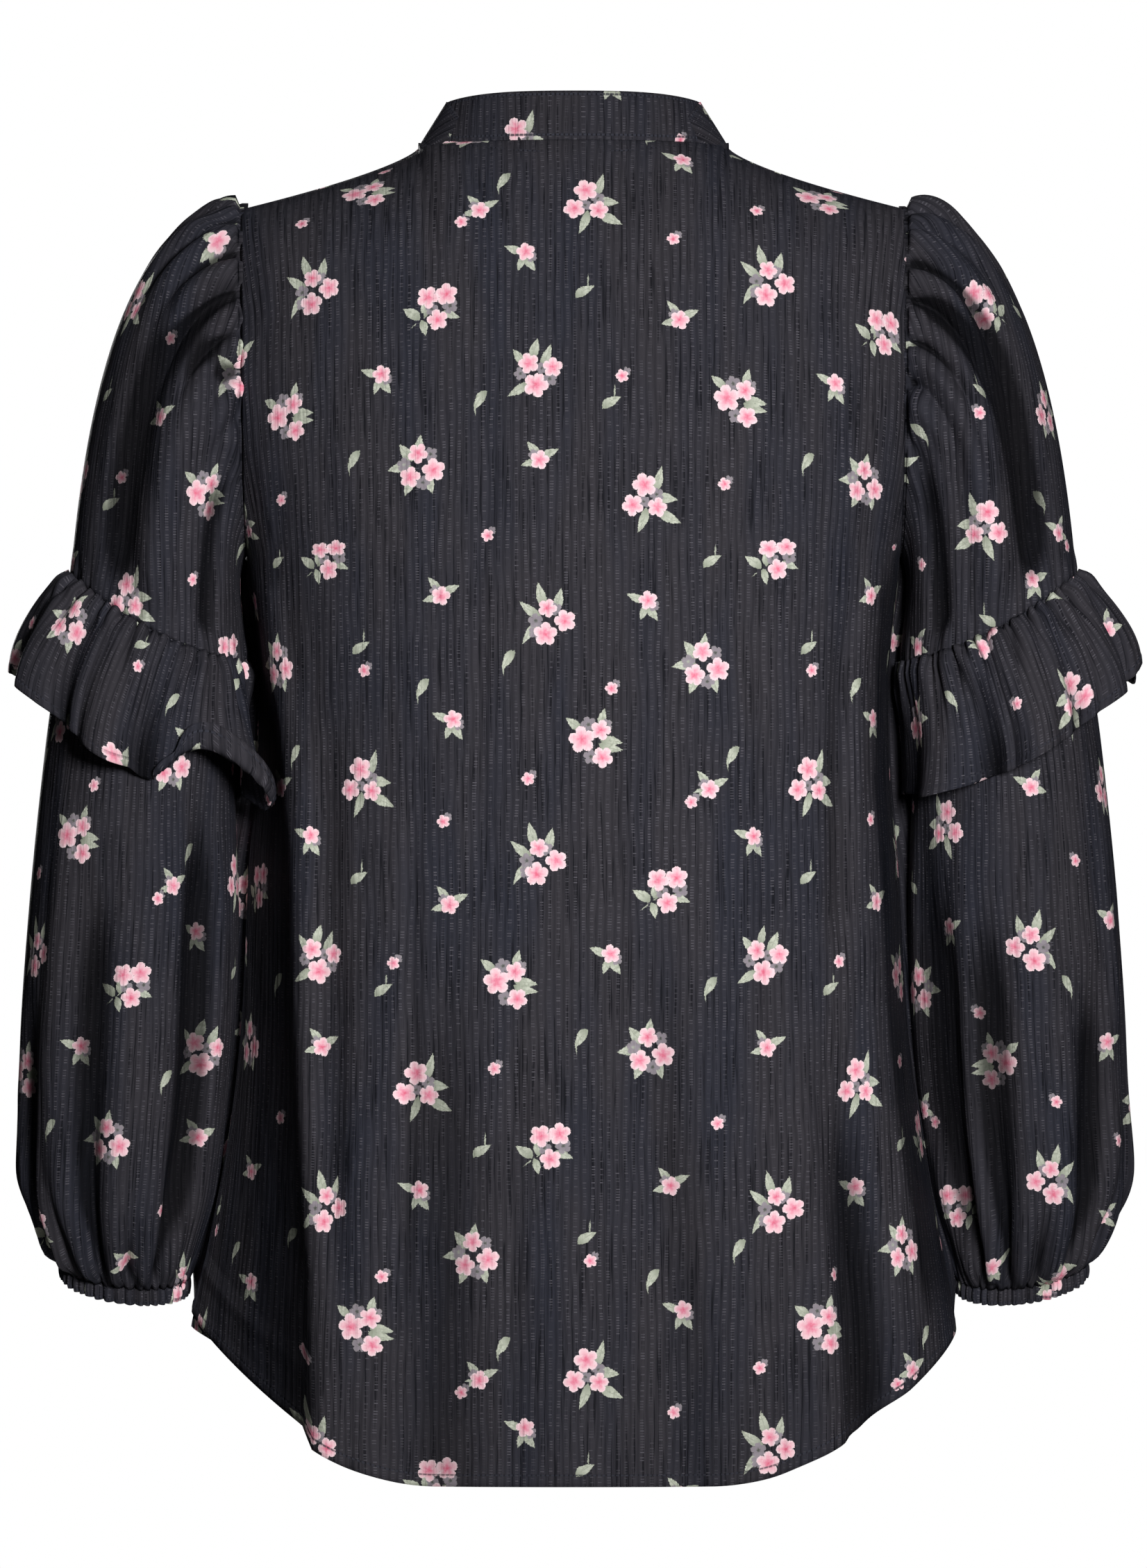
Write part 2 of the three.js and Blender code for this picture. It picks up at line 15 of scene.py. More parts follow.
import bmesh
import bpy
import numpy as np
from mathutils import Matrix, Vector

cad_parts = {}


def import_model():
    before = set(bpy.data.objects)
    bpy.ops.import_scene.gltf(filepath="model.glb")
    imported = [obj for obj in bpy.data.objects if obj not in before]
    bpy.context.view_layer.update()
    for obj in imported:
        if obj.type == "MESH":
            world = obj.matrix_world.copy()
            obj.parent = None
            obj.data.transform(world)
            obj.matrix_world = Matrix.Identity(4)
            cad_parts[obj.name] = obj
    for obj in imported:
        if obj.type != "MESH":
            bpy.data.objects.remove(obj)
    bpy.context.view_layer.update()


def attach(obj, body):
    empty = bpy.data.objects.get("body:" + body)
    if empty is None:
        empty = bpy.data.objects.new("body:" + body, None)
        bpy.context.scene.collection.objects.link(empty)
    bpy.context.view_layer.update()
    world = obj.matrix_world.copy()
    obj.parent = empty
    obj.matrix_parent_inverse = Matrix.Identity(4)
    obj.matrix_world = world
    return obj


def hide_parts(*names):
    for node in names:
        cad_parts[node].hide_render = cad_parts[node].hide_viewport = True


LOG = logging.getLogger("blouse")
MM = 0.001
CLOTH_WALL = 0.8
Array = np.ndarray


class Side(Enum):
    """The wearer's two sides, with the direction of each along X."""

    LEFT = 1
    RIGHT = -1

    @property
    def label(self) -> str:
        """The side's name as the model's nodes have it."""
        return self.name.lower()


class Panel(Enum):
    """The body's two panels, with the direction of each along Y."""

    BACK = 1
    FRONT = -1


@dataclass(frozen=True)
class Layout:
    """One motif of the print, charted round its middle, in mm.

    A bloom or a faint bloom has its place, radius and turn in degrees. A leaf has the place of
    its foot, its direction in degrees, and its length, half width and bend. The size says how
    much larger than charted the motif is drawn.
    """

    reach: float
    size: float
    blooms: tuple = ((0.0, 0.0, 0.0, 0.0),)
    faint: tuple = ((0.0, 0.0, 0.0, 0.0),)
    leaves: tuple = ((0.0, 0.0, 0.0, 0.0, 0.0, 0.0),)


class Motif(Enum):
    """The print's motifs: six sprays, two single blooms, a small bloom and two loose leaves."""

    TRIO = Layout(
        13.0, 1.38,
        ((-5.0, -1.5, 5.0, 12), (1.5, 5.8, 4.3, 50), (4.8, -3.8, 4.5, 30)),
        ((-3.8, 5.2, 3.0, 0), (-0.5, -6.4, 3.2, 40), (7.4, 1.6, 3.0, 20)),
        ((3.0, 3.0, 38, 9.5, 2.3, 0.02), (4.0, 0.5, 6, 10.3, 2.3, -0.02), (1.0, 4.0, 84, 9.5, 2.1, 0.02),
         (-2.0, -4.0, -122, 7.7, 2.0, 0.03), (3.0, -4.0, -52, 8.6, 2.1, -0.02)),
    )
    CROWN = Layout(
        13.0, 1.38,
        ((-6.0, -0.5, 4.6, 0), (1.2, 4.6, 4.0, 40), (2.0, -6.0, 5.0, 20)),
        ((6.0, -0.6, 3.2, 10), (-2.2, 4.2, 2.8, 0), (6.2, -5.2, 2.8, 30)),
        ((-1.5, 3.0, 118, 10.3, 2.1, -0.02), (1.8, 5.0, 60, 10.8, 2.1, 0.02), (4.0, 1.5, 18, 10.3, 2.1, 0.03),
         (4.5, -1.5, -34, 11.2, 1.8, -0.03)),
    )
    STEM = Layout(
        13.0, 1.38,
        ((-4.5, 5.5, 4.7, 15), (3.2, 4.6, 4.7, 45), (-0.8, -4.8, 4.5, 5)),
        ((-6.0, 0.6, 3.3, 0), (1.6, -0.2, 2.8, 20)),
        ((-2.0, -2.0, 188, 8.6, 1.8, 0.02), (4.0, -3.5, 82, 6.9, 1.8, 0.0), (2.5, -2.0, -36, 11, 0.45, 0.0),
         (6.5, -4.5, 50, 8.6, 2.3, -0.03), (6.0, -4.5, -118, 6.9, 1.8, 0.03)),
    )
    FAN = Layout(
        13.0, 1.38,
        ((2.2, 6.2, 5.1, 0), (-3.0, -2.8, 4.2, 30), (7.0, -2.2, 4.6, 60)),
        ((-2.8, 2.4, 3.0, 0), (2.5, -0.6, 2.8, 10)),
        ((-1.0, 3.0, 122, 12.0, 2.0, -0.02), (-2.0, 1.0, 172, 9.5, 2.3, 0.02),
         (-3.0, -4.0, -146, 11.2, 2.3, -0.01),
         (1.5, -3.0, -84, 11.2, 2.0, 0.02)),
    )
    CLUSTER = Layout(
        13.0, 1.38,
        ((3.8, 1.0, 5.6, 10), (-3.8, 4.8, 4.3, 35), (-4.6, -6.2, 4.4, 55)),
        ((1.2, 7.2, 3.3, 0), (0.2, -6.0, 3.2, 20), (-6.2, 7.0, 2.5, 0)),
        ((-3.5, 0.5, 174, 9.5, 2.1, 0.02), (-3.0, -0.5, 212, 10.3, 2.1, -0.03),
         (4.0, 5.5, 26, 7.7, 2.0, 0.02),
         (-3.5, 6.0, 104, 8.2, 1.8, 0.0)),
    )
    DROP = Layout(
        13.0, 1.38,
        ((-6.0, 2.8, 4.2, 20), (3.8, 4.6, 4.4, 0), (0.8, -4.4, 5.3, 40)),
        ((-4.8, -2.0, 3.2, 10), (7.2, 0.4, 2.8, 0), (-1.5, 2.4, 2.6, 0)),
        ((-1.0, 3.0, 126, 10.3, 2.0, -0.02), (2.0, 6.0, 92, 9.0, 2.1, 0.02), (5.5, 4.0, 54, 8.2, 1.8, 0.0),
         (4.0, -3.0, -46, 10.3, 2.0, 0.02)),
    )
    SINGLE_LOW = Layout(
        9.0, 1.22, ((0.0, 0.6, 4.5, 8),), ((-2.6, -1.8, 2.8, 0),),
        ((1.0, 0.6, 8, 9.5, 2.1, 0.02), (0.0, -1.5, -112, 8.6, 2.1, -0.02), (1.0, -1.5, -70, 7.7, 1.8, 0.0)),
    )
    SINGLE_HIGH = Layout(
        9.0, 1.22, ((0.0, -0.6, 4.6, 30),), ((2.6, 1.8, 2.8, 0),),
        ((-0.5, 0.0, 142, 9.5, 2.1, 0.02), (0.5, 1.0, 62, 9.0, 2.0, -0.02), (1.0, -1.0, -14, 8.2, 1.8, 0.0)),
    )
    SMALL = Layout(6.0, 1.12, ((0.5, -0.7, 3.5, 0),), ((-1.7, 1.6, 2.4, 0),))
    LEAF_LOW = Layout(
        7.0, 1.3, leaves=((-4.0, 3.4, -38, 9.5, 2.3, -0.035), (1.6, -1.0, -96, 7, 0.5, 0.0)),
    )
    LEAF_HIGH = Layout(
        7.0, 1.3, leaves=((3.6, -3.6, 128, 9.5, 2.3, 0.035), (-1.6, 0.8, 92, 7, 0.5, 0.0)),
    )


def mix(start: Array | float, end: Array | float, share: Array | float) -> Array | float:
    """The value at a share of the way from start to end."""
    return start + (end - start) * share


def fade(start: float, end: float, value: Array | float) -> Array:
    """A smooth step from 0 at start to 1 at end."""
    t = np.clip((value - start) / (end - start), 0.0, 1.0)
    return t * t * (3.0 - 2.0 * t)


def bump(distance: Array, half_width: float) -> Array:
    """A soft bump, 1 in its middle and 0 past its half width."""
    return 0.5 + 0.5 * np.cos(np.pi * np.minimum(1.0, np.abs(distance) / half_width))


def bell(distance: Array, spread: float) -> Array:
    """A rounded peak that dies away on both sides."""
    return np.exp(-((distance / spread) ** 2))


def round_turn(turn: Array, middle: float | Array) -> Array:
    """The signed distance between two places round a sleeve, in turns."""
    return (turn - middle + 0.5) % 1.0 - 0.5


def smooth_column(table: Array, column: int, down: Array) -> Array:
    """A column of a table at any height, on a smooth curve through its rows.

    Args:
        table: Rows of numbers, the first of each being its distance below the neck.
        column: The column wanted.
        down: Distances below the neck.

    Returns:
        The column's value at each distance.
    """
    heights, values = table[:, 0], table[:, column]
    last = len(heights) - 1
    i = np.clip(np.searchsorted(heights[1:-1], down, side="left"), 0, last - 1)
    before, after = np.maximum(i - 1, 0), np.minimum(i + 2, last)
    span = heights[i + 1] - heights[i]
    t = np.clip((down - heights[i]) / span, 0.0, 1.0)
    start_slope = (values[i + 1] - values[before]) / (heights[i + 1] - heights[before])
    end_slope = (values[after] - values[i]) / (heights[after] - heights[i])
    curve = (2 * t**3 - 3 * t**2 + 1) * values[i] + (3 * t**2 - 2 * t**3) * values[i + 1]
    return curve + span * ((t**3 - 2 * t**2 + t) * start_slope + (t**3 - t**2) * end_slope)


def lengths_along(points: Array, axis: int) -> Array:
    """How far each grid point is along its line, from the line's first point."""
    steps = np.linalg.norm(np.diff(points, axis=axis), axis=-1)
    zero = np.zeros_like(np.take(steps, [0], axis=axis))
    return np.concatenate([zero, np.cumsum(steps, axis=axis)], axis=axis)


def grid_normals(points: Array, closed: bool) -> Array:
    """The unit normals of a grid of points.

    Args:
        points: Columns by rows of points.
        closed: Whether the last column lies on the first.

    Returns:
        Columns by rows of normals.
    """
    across = np.gradient(points, axis=0)
    if closed:
        across[0] = across[-1] = 0.5 * (points[1] - points[-2])
    normals = np.cross(across, np.gradient(points, axis=1))
    return normals / np.maximum(np.linalg.norm(normals, axis=-1, keepdims=True), 1e-9)


@dataclass
class ClothGrid:
    """A fine grid of points with its place on the cut cloth and its fold depth for painted shade, in mm."""

    points: Array
    across: Array
    along: Array
    closed: bool = False
    stitch: Array | None = None
    hollow: Array | None = None

    def push(self, outward: Array, facing: float, shown: float = 1.0) -> None:
        """Moves the points out along the normals, and notes how deep each one lies in a fold, for the painted
        shade.

        Args:
            outward: How far each point moves outwards, in mm.
            facing: 1 where the grid's normals look outwards, and -1 where they look inwards.
            shown: The share of the movement that counts as a fold's depth, and is darkened as painted shade.
        """
        self.points = self.points + grid_normals(self.points, self.closed) * (facing * outward)[..., None]
        before = 0.0 if self.hollow is None else self.hollow
        self.hollow = before - shown * outward

    def add_lip(
        self, last: bool, length: float, inset: float, way: tuple[float, float, float] | None = None,
    ) -> None:
        """Adds the narrow seam allowance that lies inside the next piece, so no light shows through.

        Args:
            last: Whether it goes on the last row, and not on the first.
            length: How far it reaches past the seam.
            inset: How far inwards it steps, along the normals.
            way: The way it runs, or None to carry on from the cloth.
        """
        edge, before = (-1, -2) if last else (0, 1)
        start = self.points[:, edge]
        sunk = start + grid_normals(self.points, self.closed)[:, edge] * inset
        run = start - self.points[:, before]
        run = run / np.linalg.norm(run, axis=-1, keepdims=True) if way is None else np.array(way)
        for reach in (0.15 * length, length):
            self.insert_row(sunk + run * reach, edge, last)

    def insert_row(self, row: Array, edge: int, last: bool) -> None:
        """Adds one more row of points at an edge, with the edge's own place on the cloth."""
        sides = (lambda a, b: [a, b]) if last else (lambda a, b: [b, a])
        self.points = np.concatenate(sides(self.points, row[:, None]), axis=1)
        for name in ("across", "along", "stitch", "hollow"):
            values = getattr(self, name)
            if values is not None:
                line = values[:, [edge]]
                setattr(self, name, np.concatenate(sides(values, line), axis=1))


@dataclass(frozen=True)
class PrintRepeat:
    """The print's repeat as charted: the place of each motif across and up.

    The repeat is half dropped. The first step goes straight across, and the second goes half a
    step across and one repeat up.
    """

    step_across: float = 260.0
    step_up: float = 332.0
    places: tuple = (
        (Motif.TRIO, ((-75, 37), (86, 152))),
        (Motif.CROWN, ((13, 63), (-112, 260))),
        (Motif.STEM, ((-116, 98), (78, 242))),
        (Motif.FAN, ((-43, 131), (-10, 302))),
        (Motif.CLUSTER, ((-92, 190), (120, 326))),
        (Motif.DROP, ((20, 202),)),
        (Motif.SINGLE_LOW, ((68, 6), (-42, 73), (109, 206), (27, 272))),
        (Motif.SINGLE_HIGH, ((75, 77), (19, 154), (-60, 235), (53, 300))),
        (Motif.SMALL, (
            (-22, 25), (120, 35), (48, 112), (-86, 143), (-28, 202), (-57, 282), (63, 293), (-105, 306),
        )),
        (Motif.LEAF_LOW, ((87, 25), (38, 41), (127, 160), (54, 189), (41, 319))),
        (Motif.LEAF_HIGH, ((123, 48), (-78, 97), (-21, 187), (-6, 250))),
    )

    def chart(self) -> list[tuple[int, float, float]]:
        """Each motif of one repeat, by its number, with its place."""
        kinds = list(Motif)
        return [(kinds.index(kind), x, y) for kind, rows in self.places for x, y in rows]

    def nearest_motif(self, across: Array, along: Array, shift: tuple[float, float]) -> tuple[Array, Array]:
        """The motif that reaches furthest over each place of the cloth.

        Args:
            across: Places across the cloth, in mm.
            along: Places up the cloth, in mm.
            shift: Where the repeat starts on this piece, in mm.

        Returns:
            The motifs' middles on the cloth, and their numbers.
        """
        best = np.full(across.shape, np.inf)
        middle = np.zeros((len(across), 2))
        number = np.zeros(across.shape, dtype=int)
        reaches = [kind.value.reach * kind.value.size for kind in Motif]
        for kind, x, y in self.chart():
            row = np.round((along - shift[1] - y) / self.step_up)
            for extra in (-1, 0, 1):
                up = row + extra
                start = shift[0] + x + 0.5 * self.step_across * up
                left = start + self.step_across * np.round((across - start) / self.step_across)
                bottom = shift[1] + y + self.step_up * up
                distance = np.hypot(across - left, along - bottom) - reaches[kind]
                closer = distance < best
                best = np.where(closer, distance, best)
                middle[closer] = np.stack([left, bottom], -1)[closer]
                number[closer] = kind
        return middle, number

    def marks(self, across: Array, along: Array, shift: tuple[float, float]) -> dict[str, Array]:
        """What the print draws at each place: the two nearest blooms and leaves, and a faint bloom.

        Args:
            across: Places across the cloth, in mm.
            along: Places up the cloth, in mm.
            shift: Where the repeat starts on this piece, in mm.

        Returns:
            For each of the five, its place and turn, and its sizes.
        """
        middle, number = self.nearest_motif(across, along, shift)
        local = np.stack([across, along], -1) - middle
        names = ("bloom_1", "bloom_2", "faint_1", "leaf_1", "leaf_2")
        made = {f"{name}_{part}": np.zeros((len(across), 3), dtype=np.float32)
                for name in names for part in ("place", "sizes")}
        for kind, motif in enumerate(Motif):
            here = np.flatnonzero(number == kind)
            layout = motif.value
            groups = (("bloom", 2, layout.blooms), ("faint", 1, layout.faint), ("leaf", 2, layout.leaves))
            for group, ranks, chart in groups:
                rows = np.array(chart, dtype=float)
                rows[:, [0, 1, 2] if rows.shape[1] < 6 else [0, 1, 3, 4]] *= layout.size
                rows[:, 5:] /= layout.size
                away = self.distances(local[here], rows)
                order = np.argsort(away, axis=1)
                for rank in range(ranks):
                    pick = order[:, min(rank, len(rows) - 1)]
                    row = rows[pick]
                    turn = np.radians(row[:, 2] if rows.shape[1] == 6 else row[:, 3])
                    place = np.column_stack([middle[here] + row[:, :2], turn])
                    bloom_sizes = np.column_stack([row[:, 2], pick, 0.0 * pick])
                    sizes = row[:, 3:] if rows.shape[1] == 6 else bloom_sizes
                    made[f"{group}_{rank + 1}_place"][here] = place
                    made[f"{group}_{rank + 1}_sizes"][here] = sizes
        return made

    def distances(self, local: Array, rows: Array) -> Array:
        """How far each place is from the edge of each bloom or leaf of a motif.

        Args:
            local: Places from the motif's middle.
            rows: The motif's chart of blooms or leaves.

        Returns:
            One column for each bloom or leaf.
        """
        from_foot = local[:, None] - rows[None, :, :2]
        if rows.shape[1] < 6:
            return np.linalg.norm(from_foot, axis=-1) - rows[:, 2]
        turn, length = np.radians(rows[:, 2]), rows[:, 3]
        way = np.stack([np.cos(turn), np.sin(turn)], -1)
        along = np.clip((from_foot * way).sum(-1), 0.0, length)
        bent = np.stack([-way[:, 1], way[:, 0]], -1) * (rows[:, 5] * along**2)[..., None]
        return np.linalg.norm(from_foot - along[..., None] * way - bent, axis=-1) - rows[:, 4]


@dataclass
class ClothPiece:
    """One cut piece of the blouse as a fine sheet of cloth.

    The cut is its size before sewing, in metres, and the cut's area is in square metres.
    """

    node: str
    cut: tuple[float, float]
    cut_area: float
    held: str
    columns: int
    rows: int
    print_shift: tuple[float, float] = (0.0, 0.0)

    def shape(self) -> ClothGrid:
        """The piece's fine grid."""
        raise NotImplementedError

    def make(self, finish: bpy.types.Material) -> bpy.types.Object:
        """Builds the sheet, dresses it, parents it to the root body and hides the model's own piece.

        Args:
            finish: The cloth's material.

        Returns:
            The finished object.
        """
        cloth = self.shape()
        mesh = self.mesh_of(cloth)
        piece = bpy.data.objects.new(f"cloth_{self.node}", mesh)
        bpy.context.scene.collection.objects.link(piece)
        mesh.materials.append(finish)
        self.mark_print(mesh)
        wall = piece.modifiers.new("cloth thickness", "SOLIDIFY")
        wall.thickness = CLOTH_WALL * MM
        wall.offset = 0.0
        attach(piece, "root")
        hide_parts(self.node)
        area = sum(polygon.area for polygon in mesh.polygons)
        LOG.info("%s: %d faces, %.4f m2 of cloth", self.node, len(mesh.polygons), area)
        return piece

    def mesh_of(self, cloth: ClothGrid) -> bpy.types.Mesh:
        """Turns a grid of points into a mesh whose UV map is the cut cloth in millimetres.

        Args:
            cloth: The piece's grid.

        Returns:
            The mesh, in metres, closed round where the cloth is.
        """
        columns, rows = cloth.points.shape[0] - 1, cloth.points.shape[1] - 1
        work = bmesh.new()
        bmesh.ops.create_grid(work, x_segments=columns, y_segments=rows, size=1.0)
        uv_layer = work.loops.layers.uv.new("cloth")
        stitch_layer = work.verts.layers.float.new("stitch")
        stitch = cloth.stitch if cloth.stitch is not None else np.full(cloth.across.shape, 1000.0)
        # Fold depth, which the material darkens as painted shade
        hollow_layer = work.verts.layers.float.new("hollow")
        hollow = cloth.hollow if cloth.hollow is not None else np.zeros(cloth.across.shape)
        places = {}
        for vertex in work.verts:
            i = round(0.5 * (vertex.co.x + 1.0) * columns)
            j = round(0.5 * (vertex.co.y + 1.0) * rows)
            places[vertex] = (i, j)
        for face in work.faces:
            for loop in face.loops:
                i, j = places[loop.vert]
                loop[uv_layer].uv = (cloth.across[i, j], cloth.along[i, j])
        metres = cloth.points * MM
        for vertex, (i, j) in places.items():
            vertex.co = metres[i, j]
            vertex[stitch_layer] = stitch[i, j]
            vertex[hollow_layer] = hollow[i, j]
        bmesh.ops.remove_doubles(work, verts=work.verts, dist=1e-6)
        bmesh.ops.recalc_face_normals(work, faces=work.faces)
        self.face_outwards(work)
        mesh = bpy.data.meshes.new(f"cloth_{self.node}")
        work.to_mesh(mesh)
        work.free()
        mesh.shade_smooth()
        return mesh

    def inside(self) -> Vector:
        """A point that the piece's outer face looks away from, in metres."""
        return Vector((0.0, 0.0, -0.35))

    def face_outwards(self, work: bmesh.types.BMesh) -> None:
        """Turns the faces so that most of them look away from the inside."""
        middle = self.inside()
        away = sum(face.normal.dot(face.calc_center_median() - middle) for face in work.faces)
        if away < 0.0:
            bmesh.ops.reverse_faces(work, faces=work.faces)

    def mark_print(self, mesh: bpy.types.Mesh) -> None:
        """Stores on each face the blooms and leaves of the print that lie over it."""
        uv = np.zeros(2 * len(mesh.loops), dtype=np.float32)
        mesh.uv_layers["cloth"].data.foreach_get("uv", uv)
        starts = np.zeros(len(mesh.polygons), dtype=np.int32)
        mesh.polygons.foreach_get("loop_start", starts)
        uv = uv.reshape(-1, 2)
        middle = 0.25 * sum(uv[starts + corner] for corner in range(4))
        for name, values in PrintRepeat().marks(middle[:, 0], middle[:, 1], self.print_shift).items():
            layer = mesh.attributes.new(name, "FLOAT_VECTOR", "FACE")
            layer.data.foreach_set("vector", values.ravel())


@dataclass(frozen=True)
class BodyFold:
    """A hanging fold of the body.

    Its two shares are its places from the middle to the side seam at its two ends. Its depth
    is below zero where it stands out.
    """

    panel: Panel
    share_top: float
    share_hem: float
    top: float
    bottom: float
    width: float
    depth: float
    start: float = 0.3


@dataclass(frozen=True)
class TurnedFold:
    """A long fold with a turned edge: the edge's distance from the middle at each height.

    Inside the edge the cloth rolls out. Outside it the cloth falls back to the body's side, and
    where there is a hem step its hem is higher. A painted shade darkens the cloth just outside the edge.
    """

    side: Side
    edge: tuple[tuple[float, float], ...]
    roll: float
    top: float
    bottom: float
    hem_step: float = 0.0
    step_above: tuple[float, float] = (620.0, 520.0)
    least_reach: float = 4.0
    roll_inset: float = 5.0
    roll_width: float = 9.0
    fade_in: float = 90.0
    fade_out: float = 60.0
    hollow: float = 0.8
    # How much painted shade lies just outside the edge, as a fold depth in mm
    edge_shade_depth: float = 2.9

    def turn(self, line: Array) -> Array:
        """Moves one row of the panel.

        Args:
            line: The row's points, from one side seam to the other.

        Returns:
            The row with the fold.
        """
        down = -float(line[:, 2].mean())
        edge = float(np.interp(down, *np.array(self.edge).T))
        strength = fade(self.top, self.top + self.fade_in, down)
        strength = float(strength * (1.0 - fade(self.bottom - self.fade_out, self.bottom, down)))
        x = self.side.value * line[:, 0]
        tip = int(np.argmax(x))
        if strength <= 0.0 or x[tip] <= edge + self.least_reach:
            return line
        order = np.argsort(x)
        edge_depth = float(np.interp(edge, x[order], line[order, 1]))
        share = np.clip((x - edge) / (x[tip] - edge), 0.0, 1.0)
        flat = mix(edge_depth, line[tip, 1], share**self.hollow)
        place = np.arange(len(line))
        before_tip = place <= tip if line[0, 0] * self.side.value < 0 else place >= tip
        line = line.copy()
        line[:, 1] += np.where(before_tip & (x > edge), strength * (flat - line[:, 1]), 0.0)
        line[:, 1] += strength * self.roll * bell(x - edge + self.roll_inset, self.roll_width)
        near_hem = fade(*(self.bottom - above for above in self.step_above), down)
        line[:, 2] += self.hem_step * near_hem * fade(0.0, 6.0, x - edge)
        return line

    def painted_edge_shade(self, points: Array) -> Array:
        """Painted shade just outside the fold's edge, given as a fold depth in mm; it does not move the
        cloth.
        """
        down = -points[..., 2]
        past = self.side.value * points[..., 0] - np.interp(down, *np.array(self.edge).T)
        strength = fade(self.top, self.top + self.fade_in, down)
        strength = strength * (1.0 - fade(self.bottom - self.fade_out, self.bottom, down))
        return self.edge_shade_depth * strength * fade(-0.5, 2.5, past) * (1.0 - 0.25 * fade(10.0, 50.0, past))


@dataclass
class Body(ClothPiece):
    """The back or the front panel, from the hem to the neck and shoulder seams."""

    panel: Panel = Panel.BACK
    collar_width: float = 88.0
    neck_reach: float = 62.0
    neck_drop: float = 0.0
    armhole_depth: float = 58.0
    hem_middle: float = 760.0

    SHOULDER_FORWARD = 3.0
    SHOULDER_HALF_WIDTH = 190.0
    SHOULDER_DROP = 36.0
    SHOULDER_CURVE = 0.7
    NECK_SHARE = 0.37
    ARMHOLE_MIDDLE = 136.0
    ARMHOLE_HALF_HEIGHT = 100.0
    UNDERARM = 236.0
    CHEST = 100.0
    SQUARENESS = 2.4
    HEM_SIDE = 678.0
    HEM_FLAT_SHARE = 0.26
    EDGE_SET_BACK = 0.28
    SKIRT, ARMHOLE, SHOULDER = 6.0, 4.0, 4.0
    TOP = SKIRT + ARMHOLE + SHOULDER
    HEM_WIDTH = 7.0
    NECK_STITCH = 11.0
    SLIT_SHARE = 0.03
    SKIRT_ROWS, BESIDE_ROWS = 0.6, 0.2
    SECTION_SAMPLES = 90
    SHOULDER_ROUNDNESS = (1.35, 2.2)
    # Share of the folds' depth that is darkened as painted shade
    FOLD_SHADE_SHARE = 0.42

    # Distance below the neck, half widths on the left and right, depths at the back and front
    SECTIONS = np.array([
        (100, 189, 189, 104, 105), (236, 187, 187, 116, 124), (300, 181, 181, 118, 124),
        (370, 182, 182, 118, 121), (410, 186, 186, 119, 120), (510, 191, 192, 122, 122),
        (591, 201, 204, 127, 127), (646, 211, 214, 132, 131), (678, 219, 219, 135, 133),
        (762, 226, 225, 141, 138),
    ], dtype=float)

    FOLDS = (
        BodyFold(Panel.FRONT, 0.85, 0.85, 205, 700, 0.14, -26, 0.10),
        BodyFold(Panel.FRONT, -0.85, -0.85, 205, 700, 0.14, -26, 0.10),
        BodyFold(Panel.BACK, -0.60, -0.60, 500, 900, 0.09, 9.3),
        BodyFold(Panel.BACK, -0.50, -0.48, 470, 900, 0.07, -4.2),
        BodyFold(Panel.BACK, 0.30, 0.22, 420, 900, 0.13, 5.8),
        BodyFold(Panel.BACK, 0.46, 0.40, 500, 900, 0.08, -5.1),
        BodyFold(Panel.BACK, 0.05, -0.02, 560, 900, 0.09, -4.1),
        BodyFold(Panel.BACK, -0.18, -0.27, 380, 900, 0.10, 4.4),
        BodyFold(Panel.BACK, -0.34, -0.38, 600, 900, 0.06, -3.4),
        BodyFold(Panel.BACK, 0.60, 0.52, 300, 640, 0.07, 3.7),
        BodyFold(Panel.BACK, 0.37, 0.34, 330, 700, 0.030, 3.0),
        BodyFold(Panel.BACK, 0.13, 0.10, 440, 900, 0.030, 2.6),
        BodyFold(Panel.BACK, -0.09, -0.13, 300, 620, 0.028, 2.4),
        BodyFold(Panel.BACK, -0.43, -0.44, 250, 560, 0.030, 2.8),
        BodyFold(Panel.BACK, -0.55, -0.54, 560, 900, 0.030, 3.2),
        BodyFold(Panel.BACK, 0.22, 0.21, 150, 430, 0.030, 2.2),
        BodyFold(Panel.BACK, -0.68, -0.62, 250, 470, 0.06, 4.1),
        BodyFold(Panel.FRONT, 0.62, 0.66, 260, 900, 0.10, 9),
        BodyFold(Panel.FRONT, 0.46, 0.50, 330, 900, 0.06, -3),
        BodyFold(Panel.FRONT, 0.24, 0.30, 420, 900, 0.08, 3),
        BodyFold(Panel.FRONT, -0.66, -0.60, 300, 900, 0.10, 10),
        BodyFold(Panel.FRONT, -0.44, -0.43, 520, 900, 0.06, -3),
        BodyFold(Panel.FRONT, -0.18, -0.26, 330, 900, 0.12, 5),
        BodyFold(Panel.FRONT, 0.84, 0.80, 240, 600, 0.07, 3.5),
        BodyFold(Panel.FRONT, -0.84, -0.82, 260, 540, 0.06, 3),
    )
    TURNED = (
        TurnedFold(
            Side.LEFT,
            ((189, 188), (214, 186), (254, 182), (299, 175), (338, 167), (413, 160), (509, 157.6),
             (609, 151), (642, 148), (760, 146)),
            roll=7.0, top=150.0, bottom=1200.0, hem_step=9.0,
        ),
        TurnedFold(
            Side.RIGHT,
            ((173, 187.5), (208, 187), (236, 181), (259, 174.5), (295, 171), (370, 170), (410, 173),
             (509, 177.7), (572, 184), (609, 191), (700, 200)),
            roll=6.0, top=185.0, bottom=700.0,
        ),
    )

    def hem_down(self, share: Array) -> Array:
        """The hem's distance below the neck, high at the side seams and low in the middle."""
        rise = np.maximum(0.0, np.abs(share) - self.HEM_FLAT_SHARE) / (1.0 - self.HEM_FLAT_SHARE)
        return mix(self.hem_middle, self.HEM_SIDE, np.sin(0.5 * np.pi * rise) ** 2)

